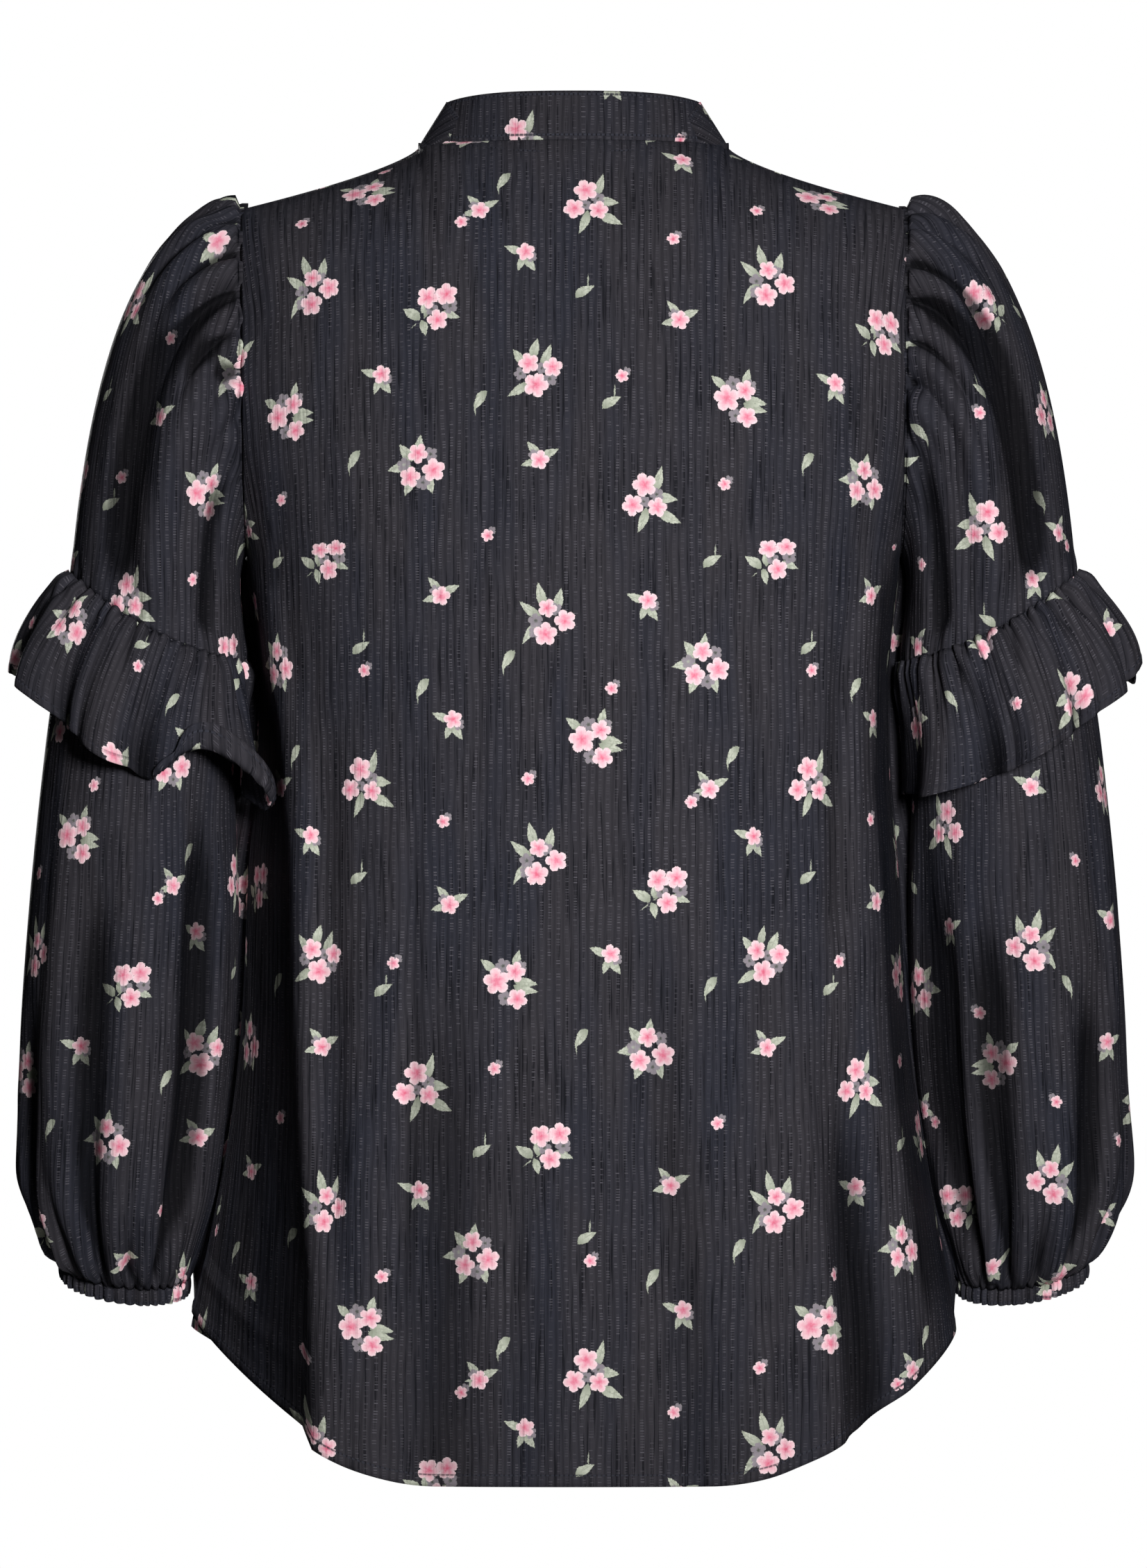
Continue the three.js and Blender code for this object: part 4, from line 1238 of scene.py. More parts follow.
@dataclass
class Ruffle(ClothPiece):
    """The ruffle: fine gathers at its seam that open into deep waves at its hem."""

    side: Side = Side.LEFT
    cut_width: float = 560.0
    model_wall: float = 1.6
    seam_gap: float = 0.3
    model_ripple: float = 2.5
    hem_width: float = 5.5
    curl_gap: float = 3.0
    curl_lean: float = 0.3
    curl_flatness: float = 0.35
    wave_shade_share: float = 0.3

    WAVES = {
        Side.LEFT: (
            HemWave(0.105, 0.075, 40), HemWave(0.135, 0.065, 0, 14, 15), HemWave(0.215, 0.030, -15, -3),
            HemWave(0.275, 0.045, 11, -3),
            HemWave(0.345, 0.030, -13), HemWave(0.40, 0.035, 7), HemWave(0.455, 0.030, -11, 4),
            HemWave(0.51, 0.030, 1), HemWave(0.56, 0.045, -12), HemWave(0.64, 0.050, 11),
            HemWave(0.73, 0.045, -12), HemWave(0.81, 0.045, 11), HemWave(0.90, 0.040, 9),
            HemWave(0.238, 0.014, -4.5), HemWave(0.31, 0.016, -4), HemWave(0.425, 0.014, -4),
        ),
        Side.RIGHT: (
            HemWave(0.13, 0.055, 14, 2), HemWave(0.20, 0.035, -15), HemWave(0.27, 0.040, 8),
            HemWave(0.33, 0.022, -10),
            HemWave(0.385, 0.035, 8), HemWave(0.43, 0.022, -13, 3), HemWave(0.47, 0.028, 3, 5),
            HemWave(0.505, 0.016, -9), HemWave(0.535, 0.025, 1, -5), HemWave(0.59, 0.040, -12),
            HemWave(0.67, 0.050, 11),
            HemWave(0.76, 0.045, -12), HemWave(0.84, 0.045, 10), HemWave(0.91, 0.040, 8),
            HemWave(0.235, 0.014, -4.5), HemWave(0.30, 0.014, -4), HemWave(0.36, 0.012, -4),
        ),
    }

    def shape(self) -> ClothGrid:
        """The ruffle's fine grid."""
        turn, v = np.meshgrid(
            np.linspace(0.0, 1.0, self.columns + 1), np.linspace(0.0, 1.0, self.rows + 1), indexing="ij"
        )
        swing = np.sin(0.5 * np.pi * v)
        ring = [mix(a, b, v if i == 0 else swing) for i, (a, b) in enumerate(zip(SEAM_RING, RUFFLE_HEM_RING))]
        stand_off = self.model_wall + self.seam_gap + 0.5 * self.model_ripple
        grow = mix(0.5, stand_off, fade(-0.02, 0.09, v))
        lift, waved = np.zeros(turn.shape), np.zeros(turn.shape)
        for wave in self.WAVES[self.side]:
            place = bump(round_turn(turn, wave.turn), wave.width)
            waved = waved + wave.reach * v * place
            lift += wave.lift * v * place
        points = ring_point(self.side, ring, turn, grow + waved)
        points[..., 2] += lift
        cloth = ClothGrid(points, turn * self.cut_width, v, closed=True)
        fall = lengths_along(points, 1)
        reach = np.zeros(turn.shape)
        for gather in RUFFLE_SEAM[self.side]:
            reach += gather.reach(turn, fall, mix(SEAM_GIRTH, HEM_GIRTH, float(v.mean())))
        from_hem = fall[:, -1:] - fall
        reach += 0.3 * (1.0 - fade(self.hem_width - 1.0, self.hem_width + 0.3, from_hem))
        outside = UpperSleeve.outward(self, points)
        # The gathers' full depth is darkened as painted shade
        cloth.push(reach, outside)
        # Painted shade in the valleys where the hem waves swing in
        cloth.hollow -= self.wave_shade_share * waved
        self.turn_up(cloth, fall, outside)
        cloth.along = -fall
        cloth.stitch = np.abs(from_hem - self.hem_width + 0.8)
        return cloth

    def turn_up(self, cloth: ClothGrid, fall: Array, outside: float) -> None:
        """Turns the hem back up over the ruffle where its waves curl, so that its inside shows.

        Args:
            cloth: The ruffle's grid.
            fall: How far each place is below the seam, along the cloth.
            outside: 1 where the grid's normals look outwards, and -1 where they look inwards.
        """
        away = grid_normals(cloth.points, True) * outside
        for column in range(len(fall)):
            turn = column / (len(fall) - 1)
            turned = sum(
                wave.curl * bump(round_turn(turn, wave.turn), wave.width) ** self.curl_flatness
                for wave in self.WAVES[self.side]
            )
            crease = fall[column, -1] - turned
            past = np.maximum(fall[column] - crease, 0.0)
            mirrored = fall[column] - 2.0 * past
            stand_off = self.curl_gap * fade(0.0, self.curl_gap, past) + self.curl_lean * past
            for axis in range(3):
                line = np.interp(mirrored, fall[column], cloth.points[column, :, axis])
                lean = np.interp(mirrored, fall[column], away[column, :, axis])
                cloth.points[column, :, axis] = line + lean * stand_off

    def inside(self) -> Vector:
        """A point inside the ruffle."""
        return Vector((self.side.value * 0.245, 0.0, -0.3))


RUFFLE_SEAM = {
    Side.LEFT: spread_gathers(46, 11, 3.2, 3.6, (12.0, 62.0)),
    Side.RIGHT: spread_gathers(46, 23, 3.2, 3.6, (12.0, 62.0)),
}
HEAD_PUCKERS = {
    Side.LEFT: spread_gathers(16, 5, 7.0, 7.5, (24.0, 54.0)),
    Side.RIGHT: spread_gathers(16, 17, 7.0, 7.5, (24.0, 54.0)),
}
CUFF_GATHERS = {
    Side.LEFT: spread_gathers(40, 31, 1.5, 2.0, (14.0, 46.0)),
    Side.RIGHT: spread_gathers(40, 47, 1.5, 2.0, (14.0, 46.0)),
}

BACK_PANEL = Body("back", (0.56, 0.84), 0.38, "hung", 180, 190, print_shift=(0.0, -332.0))
FRONT_PANEL = Front(
    "front", (0.56, 0.80), 0.36, "hung", 110, 140, print_shift=(60.0, -250.0), panel=Panel.FRONT,
    neck_reach=80.0, neck_drop=60.0, armhole_depth=62.0, hem_middle=746.0,
)


def linear(code: str) -> tuple[float, float, float, float]:
    """The linear colour of an sRGB hex code."""
    parts = [int(code.lstrip("#")[i : i + 2], 16) / 255.0 for i in (0, 2, 4)]
    return (*(p / 12.92 if p <= 0.04045 else ((p + 0.055) / 1.055) ** 2.4 for p in parts), 1.0)


@dataclass(frozen=True)
class PrintedCrinkleCotton:
    """Printed crinkle cotton: woven with tight and slack warps, piece dyed and screen printed.

    The slack warps pucker into narrow upright columns of small rungs, which catch the light as
    rows of pale dashes on a dull dark ground. The print sinks in and has soft, slightly ragged edges.
    Sizes are in millimetres on the cut cloth.
    """

    ground: str = "#38363b"
    ground_deep: str = "#2f3039"
    rung: str = "#5c5a61"
    crease: str = "#0f1015"
    thread: str = "#3c3d46"
    # Painted shade: the colour that deep fold hollows are darkened towards
    painted_fold_shade: str = "#050507"
    bloom_heart: str = "#e8708a"
    bloom_inner: str = "#f19db2"
    bloom_petal: str = "#f8c3cd"
    bloom_tip: str = "#fce4e9"
    ghost: str = "#958b95"
    leaf: str = "#c9cdbd"
    leaf_shade: str = "#969c8b"
    sheen_colour: str = "#7f93c4"
    roughness: float = 0.82
    sheen: float = 0.006
    petal_count: int = 5
    column_pitch: float = 4.7
    rung_pitch: float = 1.5
    # Painted shade in the folds' hollows: full at this depth in mm, and this share of the way to its colour
    full_depth: float = 4.2
    painted_shade_strength: float = 0.82

    def build(self) -> bpy.types.Material:
        """Makes the material.

        Returns:
            The material, which reads the UV map "cloth", the attributes of print and stitching, and the fold
            depth that it darkens as painted shade.
        """
        material = bpy.data.materials.new("printed crinkle cotton, woven and screen printed")
        material.use_nodes = True
        tree = material.node_tree
        tree.nodes.clear()
        cloth = add_node(tree, "ShaderNodeUVMap", uv_map="cloth")
        print_colour, print_cover = self.draw_print(tree, cloth)
        ground_colour, height = self.draw_ground(tree, cloth)
        dyed = add_node(
            tree, "ShaderNodeMix", {0: print_cover, 6: ground_colour, 7: print_colour}, 2, data_type="RGBA"
        )
        stitched, height = self.draw_stitches(tree, cloth, dyed, height)
        # Painted shade darkens the cloth deep in its folds
        fold_shaded = self.paint_fold_shade(tree, stitched)
        bumped = add_node(tree, "ShaderNodeBump", {"Strength": 0.8, "Distance": 0.0009, "Height": height})
        shader = add_node(tree, "ShaderNodeBsdfPrincipled", {
            "Base Color": fold_shaded, "Roughness": self.roughness, "Sheen Weight": self.sheen,
            "Sheen Roughness": 0.45, "Sheen Tint": linear(self.sheen_colour), "Specular IOR Level": 0.06,
            "Normal": bumped,
        })
        add_node(tree, "ShaderNodeOutputMaterial", {"Surface": shader}, None)
        return material

    def draw_print(self, tree: bpy.types.NodeTree, cloth: bpy.types.NodeSocket) -> tuple:
        """Draws what each face names: leaves, then a faint bloom, then pink blooms.

        Args:
            tree: The material's nodes.
            cloth: The place on the cut cloth.

        Returns:
            The print's colour and where it covers the ground.
        """
        math_node, vector_node = "ShaderNodeMath", "ShaderNodeVectorMath"
        ragged = add_node(tree, "ShaderNodeTexNoise", {0: cloth, "Scale": 1.1, "Detail": 2.0}, "Color")
        ragged = add_node(tree, vector_node, {0: ragged, 1: (0.5, 0.5, 0.5)}, operation="SUBTRACT")
        ragged = add_node(tree, vector_node, {0: ragged, 1: (1.5, 1.5, 0.0)}, operation="MULTIPLY")
        drawn = add_node(tree, vector_node, {0: cloth, 1: ragged}, operation="ADD")
        wash = add_node(tree, "ShaderNodeTexNoise", {0: cloth, "Scale": 0.5, "Detail": 3.0}, "Fac")

        mask_1, tone_1, order_1 = self.draw_bloom(tree, drawn, "bloom_1")
        mask_2, tone_2, order_2 = self.draw_bloom(tree, drawn, "bloom_2")
        over = add_node(tree, math_node, {0: order_2, 1: order_1}, operation="GREATER_THAN")
        bare = add_node(tree, math_node, {0: 1.0, 1: mask_1}, operation="SUBTRACT")
        over = add_node(tree, math_node, {0: over, 1: bare}, operation="MAXIMUM")
        over = add_node(tree, math_node, {0: over, 1: mask_2}, operation="MULTIPLY")
        tone = add_node(tree, "ShaderNodeMix", {0: over, 2: tone_1, 3: tone_2})
        bloom_mask = add_node(tree, math_node, {0: mask_1, 1: mask_2}, operation="MAXIMUM")
        tone = add_node(tree, math_node, {0: wash, 1: -0.7, 2: tone}, operation="MULTIPLY_ADD")
        tone = add_node(tree, math_node, {0: tone, 1: 0.35}, operation="ADD")
        bloom = add_node(tree, "ShaderNodeValToRGB", {0: tone})
        ramp = bloom.node.color_ramp
        for position, code in ((0.26, self.bloom_inner), (0.55, self.bloom_petal)):
            ramp.elements.new(position).color = linear(code)
        ramp.elements[0].color, ramp.elements[-1].color = linear(self.bloom_heart), linear(self.bloom_tip)

        faint_mask, faint_tone, _ = self.draw_bloom(tree, drawn, "faint_1")
        faint_cover = add_node(
            tree, "ShaderNodeMapRange", {0: faint_tone, 1: 0.12, 2: 0.3, 3: 0.25, 4: 0.9}
        )
        faint_cover = add_node(tree, math_node, {0: faint_cover, 1: faint_mask}, operation="MULTIPLY")
        leaf_1, shade_1 = self.draw_leaf(tree, drawn, "leaf_1")
        leaf_2, shade_2 = self.draw_leaf(tree, drawn, "leaf_2")
        leaf_mask = add_node(tree, math_node, {0: leaf_1, 1: leaf_2}, operation="MAXIMUM")
        shade = add_node(tree, "ShaderNodeMix", {0: leaf_1, 2: shade_2, 3: shade_1})
        patchy = add_node(tree, "ShaderNodeMapRange", {0: wash, 1: 0.42, 2: 0.66, 3: 0.0, 4: 0.8})
        shade = add_node(tree, math_node, {0: shade, 1: patchy}, operation="MAXIMUM")
        leaf = add_node(
            tree, "ShaderNodeMix", {0: shade, 6: linear(self.leaf), 7: linear(self.leaf_shade)}, 2,
            data_type="RGBA",
        )
        colour = add_node(
            tree, "ShaderNodeMix", {0: faint_cover, 6: leaf, 7: linear(self.ghost)}, 2, data_type="RGBA"
        )
        colour = add_node(tree, "ShaderNodeMix", {0: bloom_mask, 6: colour, 7: bloom}, 2, data_type="RGBA")
        cover = add_node(tree, math_node, {0: leaf_mask, 1: faint_cover}, operation="MAXIMUM")
        cover = add_node(tree, math_node, {0: cover, 1: bloom_mask}, operation="MAXIMUM")
        return colour, cover

    def place_from(self, tree: bpy.types.NodeTree, cloth: bpy.types.NodeSocket, name: str) -> tuple:
        """The place on the cloth as seen from one bloom's middle or one leaf's foot.

        Args:
            tree: The material's nodes.
            cloth: The place on the cut cloth.
            name: The bloom or leaf, as the faces' attributes name it.

        Returns:
            The place along and aside, and the three sizes.
        """
        place = add_node(tree, "ShaderNodeAttribute", {}, "Vector", attribute_name=f"{name}_place")
        sizes = add_node(tree, "ShaderNodeAttribute", {}, "Vector", attribute_name=f"{name}_sizes")
        turn = add_node(tree, "ShaderNodeSeparateXYZ", {0: place}, 2)
        turn = add_node(tree, "ShaderNodeMath", {0: turn, 1: -1.0}, operation="MULTIPLY")
        middle = add_node(tree, "ShaderNodeVectorMath", {0: place, 1: (1, 1, 0)}, operation="MULTIPLY")
        local = add_node(tree, "ShaderNodeVectorMath", {0: cloth, 1: middle}, operation="SUBTRACT")
        local = add_node(tree, "ShaderNodeVectorRotate", {0: local, "Angle": turn}, rotation_type="Z_AXIS")
        split = [add_node(tree, "ShaderNodeSeparateXYZ", {0: local}, axis) for axis in (0, 1)]
        return (*split, *(add_node(tree, "ShaderNodeSeparateXYZ", {0: sizes}, axis) for axis in range(3)))

    def draw_bloom(self, tree: bpy.types.NodeTree, cloth: bpy.types.NodeSocket, name: str) -> tuple:
        """Draws a bloom of five rounded petals, deeper in its heart and along its petals.

        Args:
            tree: The material's nodes.
            cloth: The place on the cut cloth.
            name: The bloom, as the faces' attributes name it.

        Returns:
            Where the bloom is, how pale it is there, and its order in the motif.
        """
        math_node = "ShaderNodeMath"
        x, y, radius, order, _ = self.place_from(tree, cloth, name)
        flat = add_node(tree, "ShaderNodeCombineXYZ", {0: x, 1: y})
        out = add_node(tree, "ShaderNodeVectorMath", {0: flat}, "Value", operation="LENGTH")
        direction = add_node(tree, math_node, {0: y, 1: x}, operation="ARCTAN2")
        petals = add_node(tree, math_node, {0: direction, 1: 0.5 * self.petal_count}, operation="MULTIPLY")
        petals = add_node(tree, math_node, {0: petals}, operation="COSINE")
        petals = add_node(tree, math_node, {0: petals}, operation="ABSOLUTE")
        lobes = add_node(tree, math_node, {0: petals, 1: 0.45}, operation="POWER")
        edge = add_node(tree, math_node, {0: lobes, 1: 0.44, 2: 0.56}, operation="MULTIPLY_ADD")
        edge = add_node(tree, math_node, {0: edge, 1: radius}, operation="MULTIPLY")
        inside = add_node(tree, math_node, {0: edge, 1: out}, operation="SUBTRACT")
        mask = add_node(
            tree, "ShaderNodeMapRange", {0: inside, 1: -0.1, 2: 0.3, 3: 0.0, 4: 1.0},
            interpolation_type="SMOOTHSTEP",
        )
        share = add_node(tree, math_node, {0: out, 1: radius}, operation="DIVIDE")
        paler = add_node(tree, math_node, {0: petals, 1: -0.42, 2: 1.3}, operation="MULTIPLY_ADD")
        tone = add_node(tree, math_node, {0: share, 1: paler}, operation="MULTIPLY")
        return mask, tone, order

    def draw_leaf(self, tree: bpy.types.NodeTree, cloth: bpy.types.NodeSocket, name: str) -> tuple:
        """Draws a bent leaf that narrows to a fine point.

        Args:
            tree: The material's nodes.
            cloth: The place on the cut cloth.
            name: The leaf, as the faces' attributes name it.

        Returns:
            Where the leaf is, and where it is shaded.
        """
        math_node = "ShaderNodeMath"
        along, aside, length, width, bend = self.place_from(tree, cloth, name)
        share = add_node(tree, math_node, {0: along, 1: length}, operation="DIVIDE", use_clamp=True)
        square = add_node(tree, math_node, {0: along, 1: 2.0}, operation="POWER")
        curve = add_node(tree, math_node, {0: square, 1: bend}, operation="MULTIPLY")
        aside = add_node(tree, math_node, {0: aside, 1: curve}, operation="SUBTRACT")
        off_rib = add_node(tree, math_node, {0: aside}, operation="ABSOLUTE")
        wide = add_node(tree, math_node, {0: share, 1: 0.8}, operation="POWER")
        wide = add_node(tree, math_node, {0: wide, 1: math.pi}, operation="MULTIPLY")
        wide = add_node(tree, math_node, {0: wide}, operation="SINE")
        wide = add_node(tree, math_node, {0: wide, 1: width}, operation="MULTIPLY")
        inside = add_node(tree, math_node, {0: wide, 1: off_rib}, operation="SUBTRACT")
        mask = add_node(
            tree, "ShaderNodeMapRange", {0: inside, 1: 0.0, 2: 0.35, 3: 0.0, 4: 1.0},
            interpolation_type="SMOOTHSTEP",
        )
        rib = add_node(tree, "ShaderNodeMapRange", {0: off_rib, 1: 0.1, 2: 0.45, 3: 0.7, 4: 0.0})
        foot = add_node(tree, "ShaderNodeMapRange", {0: share, 1: 0.15, 2: 0.6, 3: 0.9, 4: 0.0})
        shade = add_node(tree, math_node, {0: rib, 1: foot}, operation="MAXIMUM")
        return mask, shade

    def draw_ground(self, tree: bpy.types.NodeTree, cloth: bpy.types.NodeSocket) -> tuple:
        """Draws the dyed crinkle ground: soft bands, columns of rungs and fine upright creases.

        Args:
            tree: The material's nodes.
            cloth: The place on the cut cloth.

        Returns:
            The ground's colour and its height.
        """
        math_node, vector_node = "ShaderNodeMath", "ShaderNodeVectorMath"
        slow = add_node(tree, vector_node, {0: cloth, 1: (0.03, 0.006, 0.0)}, operation="MULTIPLY")
        band = add_node(tree, "ShaderNodeTexNoise", {0: slow, "Scale": 1.0, "Detail": 2.0}, "Fac")
        band = add_node(
            tree, "ShaderNodeMapRange", {0: band, 1: 0.36, 2: 0.74, 3: 0.0, 4: 1.0},
            interpolation_type="SMOOTHSTEP",
        )
        wander = add_node(tree, vector_node, {0: cloth, 1: (0.05, 0.02, 0.0)}, operation="MULTIPLY")
        wander = add_node(tree, "ShaderNodeTexNoise", {0: wander, "Scale": 1.0, "Detail": 1.0}, "Fac")
        u = add_node(tree, "ShaderNodeSeparateXYZ", {0: cloth}, 0)
        v = add_node(tree, "ShaderNodeSeparateXYZ", {0: cloth}, 1)
        u = add_node(tree, math_node, {0: wander, 1: 5.0, 2: u}, operation="MULTIPLY_ADD")
        column = add_node(tree, math_node, {0: u, 1: self.column_pitch}, operation="DIVIDE")
        number = add_node(tree, math_node, {0: column}, operation="FLOOR")
        across = add_node(tree, math_node, {0: column}, operation="FRACT")
        chance = add_node(tree, "ShaderNodeTexWhiteNoise", {"W": number}, "Value", noise_dimensions="1D")
        rows = add_node(tree, math_node, {0: v, 1: self.rung_pitch}, operation="DIVIDE")
        rows = add_node(tree, math_node, {0: rows, 1: chance}, operation="ADD")
        row_number = add_node(tree, math_node, {0: rows}, operation="FLOOR")
        up = add_node(tree, math_node, {0: rows}, operation="FRACT")
        cell = add_node(tree, "ShaderNodeCombineXYZ", {0: number, 1: row_number})
        rung_chance = add_node(tree, "ShaderNodeTexWhiteNoise", {0: cell}, "Value", noise_dimensions="2D")
        inside_across = add_node(tree, math_node, {0: across, 1: 0.32}, operation="SUBTRACT")
        inside_across = add_node(tree, math_node, {0: inside_across}, operation="ABSOLUTE")
        inside_across = add_node(
            tree, "ShaderNodeMapRange", {0: inside_across, 1: 0.24, 2: 0.16, 3: 0.0, 4: 1.0}
        )
        inside_up = add_node(tree, math_node, {0: up, 1: 0.5}, operation="SUBTRACT")
        inside_up = add_node(tree, math_node, {0: inside_up}, operation="ABSOLUTE")
        inside_up = add_node(tree, "ShaderNodeMapRange", {0: inside_up, 1: 0.28, 2: 0.12, 3: 0.0, 4: 1.0})
        shown = add_node(tree, "ShaderNodeMapRange", {0: rung_chance, 1: 0.25, 2: 1.0, 3: 0.0, 4: 1.0})
        rung = add_node(tree, math_node, {0: inside_across, 1: inside_up}, operation="MULTIPLY")
        rung = add_node(tree, math_node, {0: rung, 1: shown}, operation="MULTIPLY")
        patch = add_node(tree, vector_node, {0: cloth, 1: (0.11, 0.016, 0.0)}, operation="MULTIPLY")
        patch = add_node(tree, "ShaderNodeTexNoise", {0: patch, "Scale": 1.0, "Detail": 1.0}, "Fac")
        patch = add_node(tree, "ShaderNodeMapRange", {0: patch, 1: 0.36, 2: 0.62, 3: 0.3, 4: 1.0})
        rung = add_node(tree, math_node, {0: rung, 1: patch}, operation="MULTIPLY")
        fine = add_node(tree, vector_node, {0: cloth, 1: (0.72, 0.018, 0.0)}, operation="MULTIPLY")
        fine = add_node(
            tree, "ShaderNodeTexNoise", {0: fine, "Scale": 1.0, "Detail": 3.0, "Roughness": 0.6}, "Fac"
        )
        crease = add_node(tree, "ShaderNodeMapRange", {0: fine, 1: 0.47, 2: 0.37, 3: 0.0, 4: 0.8})
        column_wave = add_node(tree, math_node, {0: column, 1: 2.0 * math.pi}, operation="MULTIPLY")
        column_wave = add_node(tree, math_node, {0: column_wave}, operation="SINE")
        column_shade = add_node(
            tree, "ShaderNodeMapRange", {0: column_wave, 1: -1.0, 2: -0.2, 3: 0.32, 4: 0.0}
        )
        crease = add_node(tree, math_node, {0: crease, 1: column_shade}, operation="MAXIMUM")
        colour = add_node(
            tree, "ShaderNodeMix", {0: band, 6: linear(self.ground), 7: linear(self.ground_deep)}, 2,
            data_type="RGBA",
        )
        colour = add_node(
            tree, "ShaderNodeMix", {0: crease, 6: colour, 7: linear(self.crease)}, 2, data_type="RGBA"
        )
        colour = add_node(
            tree, "ShaderNodeMix", {0: rung, 6: colour, 7: linear(self.rung)}, 2, data_type="RGBA"
        )
        soft = add_node(tree, vector_node, {0: cloth, 1: (0.06, 0.014, 0.0)}, operation="MULTIPLY")
        soft = add_node(tree, "ShaderNodeTexNoise", {0: soft, "Scale": 1.0, "Detail": 2.0}, "Fac")
        height = add_node(tree, math_node, {0: column_wave, 1: 0.09, 2: 0.5}, operation="MULTIPLY_ADD")
        height = add_node(tree, math_node, {0: soft, 1: 4.5, 2: height}, operation="MULTIPLY_ADD")
        height = add_node(tree, math_node, {0: fine, 1: 0.9, 2: height}, operation="MULTIPLY_ADD")
        height = add_node(tree, math_node, {0: rung, 1: 0.25, 2: height}, operation="MULTIPLY_ADD")
        return colour, height

    def draw_stitches(
        self, tree: bpy.types.NodeTree, cloth: bpy.types.NodeSocket, colour: bpy.types.NodeSocket,
        height: bpy.types.NodeSocket,
    ) -> tuple:
        """Draws the row of stitches that holds down each hem and the neck's facing.

        Args:
            tree: The material's nodes.
            cloth: The place on the cut cloth.
            colour: The cloth's colour.
            height: The cloth's height.

        Returns:
            The colour and the height with the stitches.
        """
        math_node = "ShaderNodeMath"
        away = add_node(tree, "ShaderNodeAttribute", {}, "Fac", attribute_name="stitch")
        groove = add_node(tree, "ShaderNodeMapRange", {0: away, 1: 0.2, 2: 1.1, 3: 1.0, 4: 0.0})
        u = add_node(tree, "ShaderNodeSeparateXYZ", {0: cloth}, 0)
        along = add_node(tree, math_node, {0: u, 1: 2.6}, operation="DIVIDE")
        along = add_node(tree, math_node, {0: along}, operation="FRACT")
        thread = add_node(tree, math_node, {0: along, 1: 0.5, 2: 0.34}, operation="COMPARE")
        thread = add_node(tree, math_node, {0: thread, 1: groove}, operation="MULTIPLY")
        dark = add_node(tree, math_node, {0: groove, 1: 0.7}, operation="MULTIPLY")
        colour = add_node(
            tree, "ShaderNodeMix", {0: dark, 6: colour, 7: linear(self.crease)}, 2, data_type="RGBA"
        )
        colour = add_node(
            tree, "ShaderNodeMix", {0: thread, 6: colour, 7: linear(self.thread)}, 2, data_type="RGBA"
        )
        height = add_node(tree, math_node, {0: groove, 1: -0.5, 2: height}, operation="MULTIPLY_ADD")
        height = add_node(tree, math_node, {0: thread, 1: 0.35, 2: height}, operation="MULTIPLY_ADD")
        return colour, height

    def paint_fold_shade(self, tree: bpy.types.NodeTree, colour: bpy.types.NodeSocket) -> bpy.types.NodeSocket:
        """Paints shade into the cloth deep in its folds, darker the deeper the fold's hollow.

        Args:
            tree: The material's nodes.
            colour: The cloth's colour.

        Returns:
            The colour with the painted fold shade.
        """
        deep = add_node(tree, "ShaderNodeAttribute", {}, "Fac", attribute_name="hollow")
        dark = add_node(
            tree, "ShaderNodeMapRange", {0: deep, 1: 0.4, 2: self.full_depth, 3: 0.0, 4: self.painted_shade_strength},
            interpolation_type="SMOOTHSTEP",
        )
        return add_node(
            tree, "ShaderNodeMix", {0: dark, 6: colour, 7: linear(self.painted_fold_shade)}, 2, data_type="RGBA"
        )


def add_node(
    tree: bpy.types.NodeTree, kind: str, inputs: dict | None = None, output: int | str | None = 0, **settings,
) -> bpy.types.NodeSocket | None:
    """Adds a node with its settings, values and links.

    Args:
        tree: The nodes it joins.
        kind: The node's type.
        inputs: A value or another node's output for each input, by number or name.
        output: The output wanted, by number or name, or None.
        settings: The node's own settings.

    Returns:
        The output, or None where none is wanted.
    """
    node = tree.nodes.new(kind)
    for name, value in settings.items():
        setattr(node, name, value)
    for key, value in (inputs or {}).items():
        if isinstance(value, bpy.types.NodeSocket):
            tree.links.new(value, node.inputs[key])
        else:
            node.inputs[key].default_value = value
    return None if output is None else node.outputs[output]


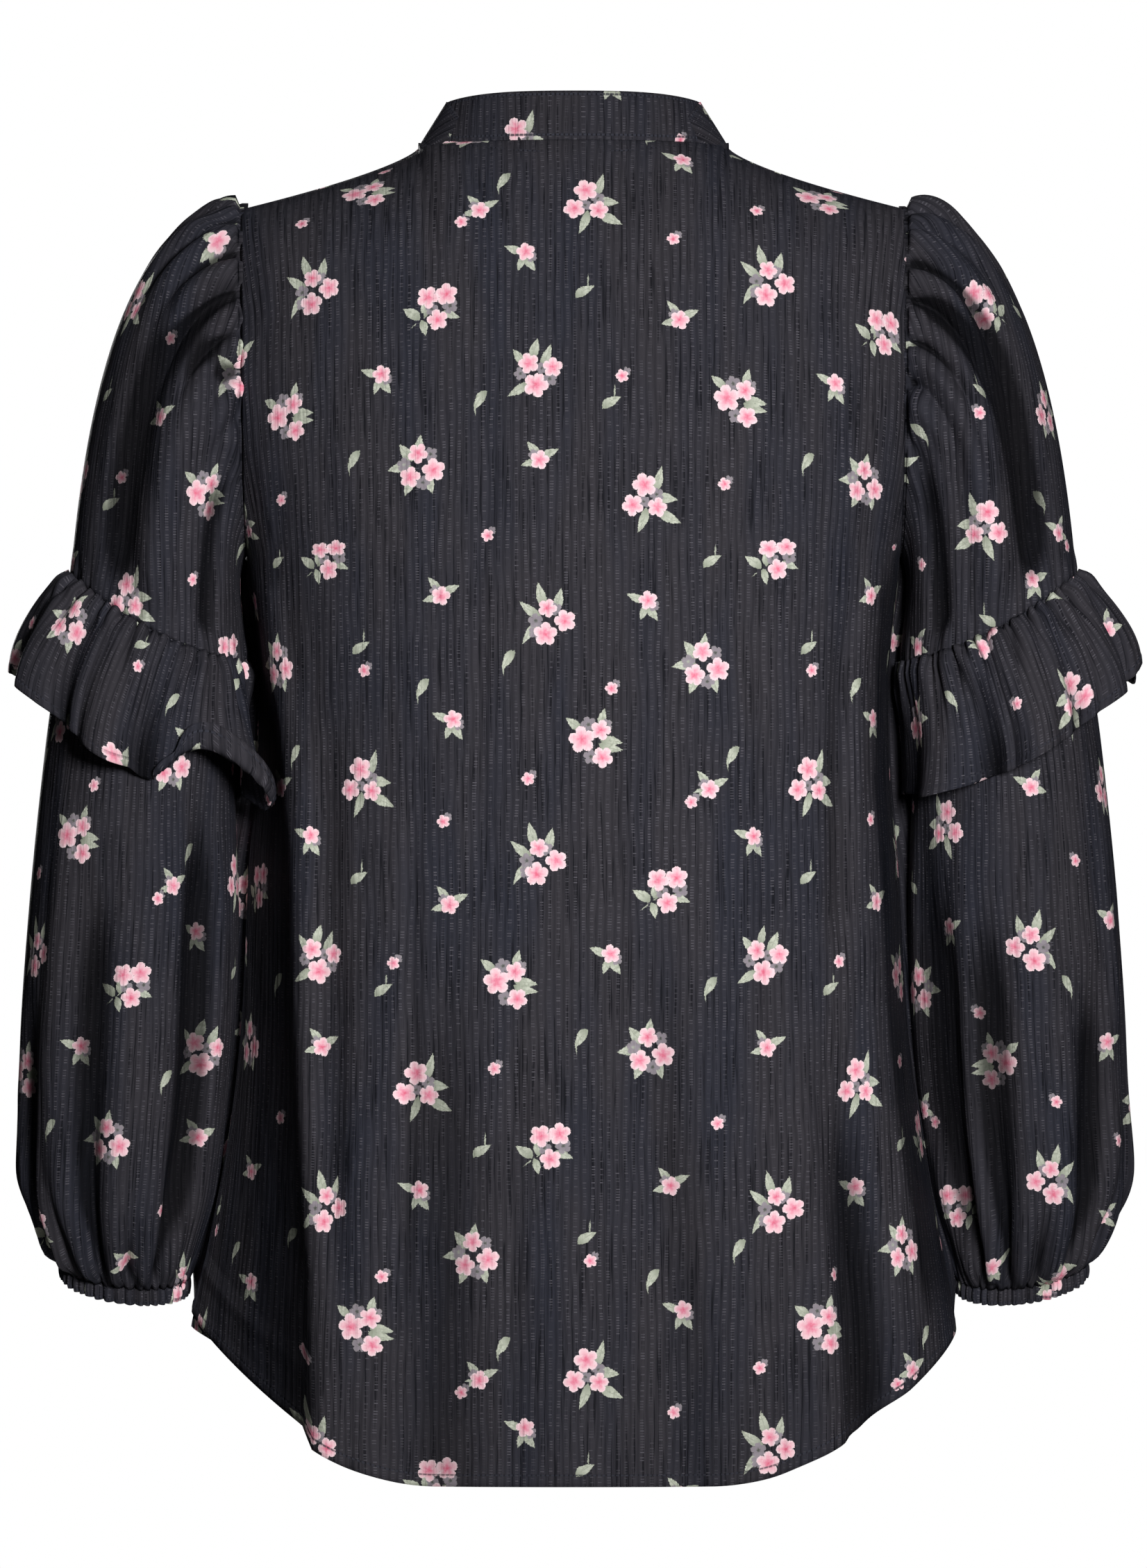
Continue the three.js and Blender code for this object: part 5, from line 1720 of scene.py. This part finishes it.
@dataclass(frozen=True)
class Studio:
    """The floor, the light and the camera of a plain pale studio."""

    distance: float = 5.5
    target_height: float = -0.366
    frame_height: float = 0.890
    sensor: float = 36.0
    plane: float = 0.07
    floor_height: float = -1.42
    floor_half: float = 1.0
    grid_angle: float = 44.0
    fill_strength: float = 0.02

    def build(self) -> None:
        """Makes the whole studio."""
        scene = bpy.context.scene
        scene.view_settings.view_transform = "Standard"
        self.world(scene)
        self.floor(scene)
        self.camera(scene)
        self.soft_light("back key", place=(-0.75, 3.35, 0.05), size=0.7, power=7.9)
        self.soft_light("front key", place=(0.75, -3.35, 0.05), size=0.7, power=7.8)
        self.soft_light("top", place=(0.0, 0.0, 2.8), size=1.6, power=1.6)

    def world(self, scene: bpy.types.Scene) -> None:
        """A white surround that the camera sees in full and that lights the blouse only faintly."""
        world = bpy.data.worlds.new("white studio")
        world.use_nodes = True
        scene.world = world
        tree = world.node_tree
        tree.nodes.clear()
        seen = add_node(tree, "ShaderNodeLightPath", {}, "Is Camera Ray")
        strength = add_node(
            tree, "ShaderNodeMapRange", {0: seen, 1: 0.0, 2: 1.0, 3: self.fill_strength, 4: 1.0}
        )
        surround = add_node(tree, "ShaderNodeBackground", {0: linear("#ffffff"), 1: strength})
        add_node(tree, "ShaderNodeOutputWorld", {0: surround}, None)

    def floor(self, scene: bpy.types.Scene) -> None:
        """A plain pale floor of matt painted board."""
        work = bmesh.new()
        bmesh.ops.create_grid(work, x_segments=2, y_segments=2, size=self.floor_half)
        bmesh.ops.translate(work, verts=work.verts, vec=(0.0, 0.0, self.floor_height))
        mesh = bpy.data.meshes.new("studio_floor")
        work.to_mesh(mesh)
        work.free()
        floor = bpy.data.objects.new("studio_floor", mesh)
        scene.collection.objects.link(floor)
        paint = bpy.data.materials.new("matt painted board")
        paint.use_nodes = True
        shader = paint.node_tree.nodes["Principled BSDF"]
        shader.inputs["Base Color"].default_value = linear("#f2f2f0")
        shader.inputs["Roughness"].default_value = 0.9
        mesh.materials.append(paint)

    def camera(self, scene: bpy.types.Scene) -> None:
        """A level camera behind the blouse, far enough off to keep the photograph's proportions."""
        data = bpy.data.cameras.new("camera")
        data.sensor_width = self.sensor
        data.lens = self.sensor * self.distance / self.frame_height
        data.clip_end = 50.0
        camera = bpy.data.objects.new("camera", data)
        camera.location = (0.0, self.distance + self.plane, self.target_height)
        camera.rotation_euler = (math.radians(90.0), 0.0, math.radians(180.0))
        scene.collection.objects.link(camera)
        scene.camera = camera

    def soft_light(self, name: str, place: tuple[float, float, float], size: float, power: float) -> None:
        """A large soft light behind a grid, which looks at the blouse's middle."""
        data = bpy.data.lights.new(name, "AREA")
        data.shape, data.size, data.energy = "DISK", size, power
        data.spread = math.radians(self.grid_angle)
        light = bpy.data.objects.new(name, data)
        light.location = place
        towards = Vector((0.0, 0.0, -0.35)) - Vector(place)
        light.rotation_euler = towards.to_track_quat("-Z", "Y").to_euler()
        bpy.context.scene.collection.objects.link(light)


def blouse_pieces() -> list[ClothPiece]:
    """The blouse's eleven pieces, in the order they are made."""
    pieces: list[ClothPiece] = [
        BACK_PANEL,
        FRONT_PANEL,
        Collar(
            "collar", (0.44, 0.035), 0.0125, "stretched", 180, 14, back=BACK_PANEL, front=FRONT_PANEL,
            print_shift=(40.0, -305.0),
        ),
    ]
    for side in Side:
        name = side.label
        shift = (22.0, -60.0) if side is Side.LEFT else (-35.0, -190.0)
        pieces += [
            UpperSleeve(f"upper_sleeve_{name}", (0.37, 0.30), 0.085, "gathered", 340, 84, shift, side=side),
            Ruffle(f"ruffle_{name}", (0.56, 0.085), 0.047, "gathered", 560, 38, shift, side=side),
            LowerSleeve(f"lower_sleeve_{name}", (0.41, 0.40), 0.155, "gathered", 260, 124, shift, side=side),
            Cuff(f"cuff_{name}", (0.41, 0.011), 0.0045, "gathered", 300, 8, shift, side=side),
        ]
    return pieces


def main() -> None:
    """Loads the frame, builds and dresses each piece, and sets up the studio."""
    logging.basicConfig(level=logging.INFO, format="%(name)s: %(message)s")
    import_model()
    finish = PrintedCrinkleCotton().build()
    for piece in blouse_pieces():
        piece.make(finish)
    Studio().build()
    LOG.info("finished")


if __name__ == "__main__":
    main()
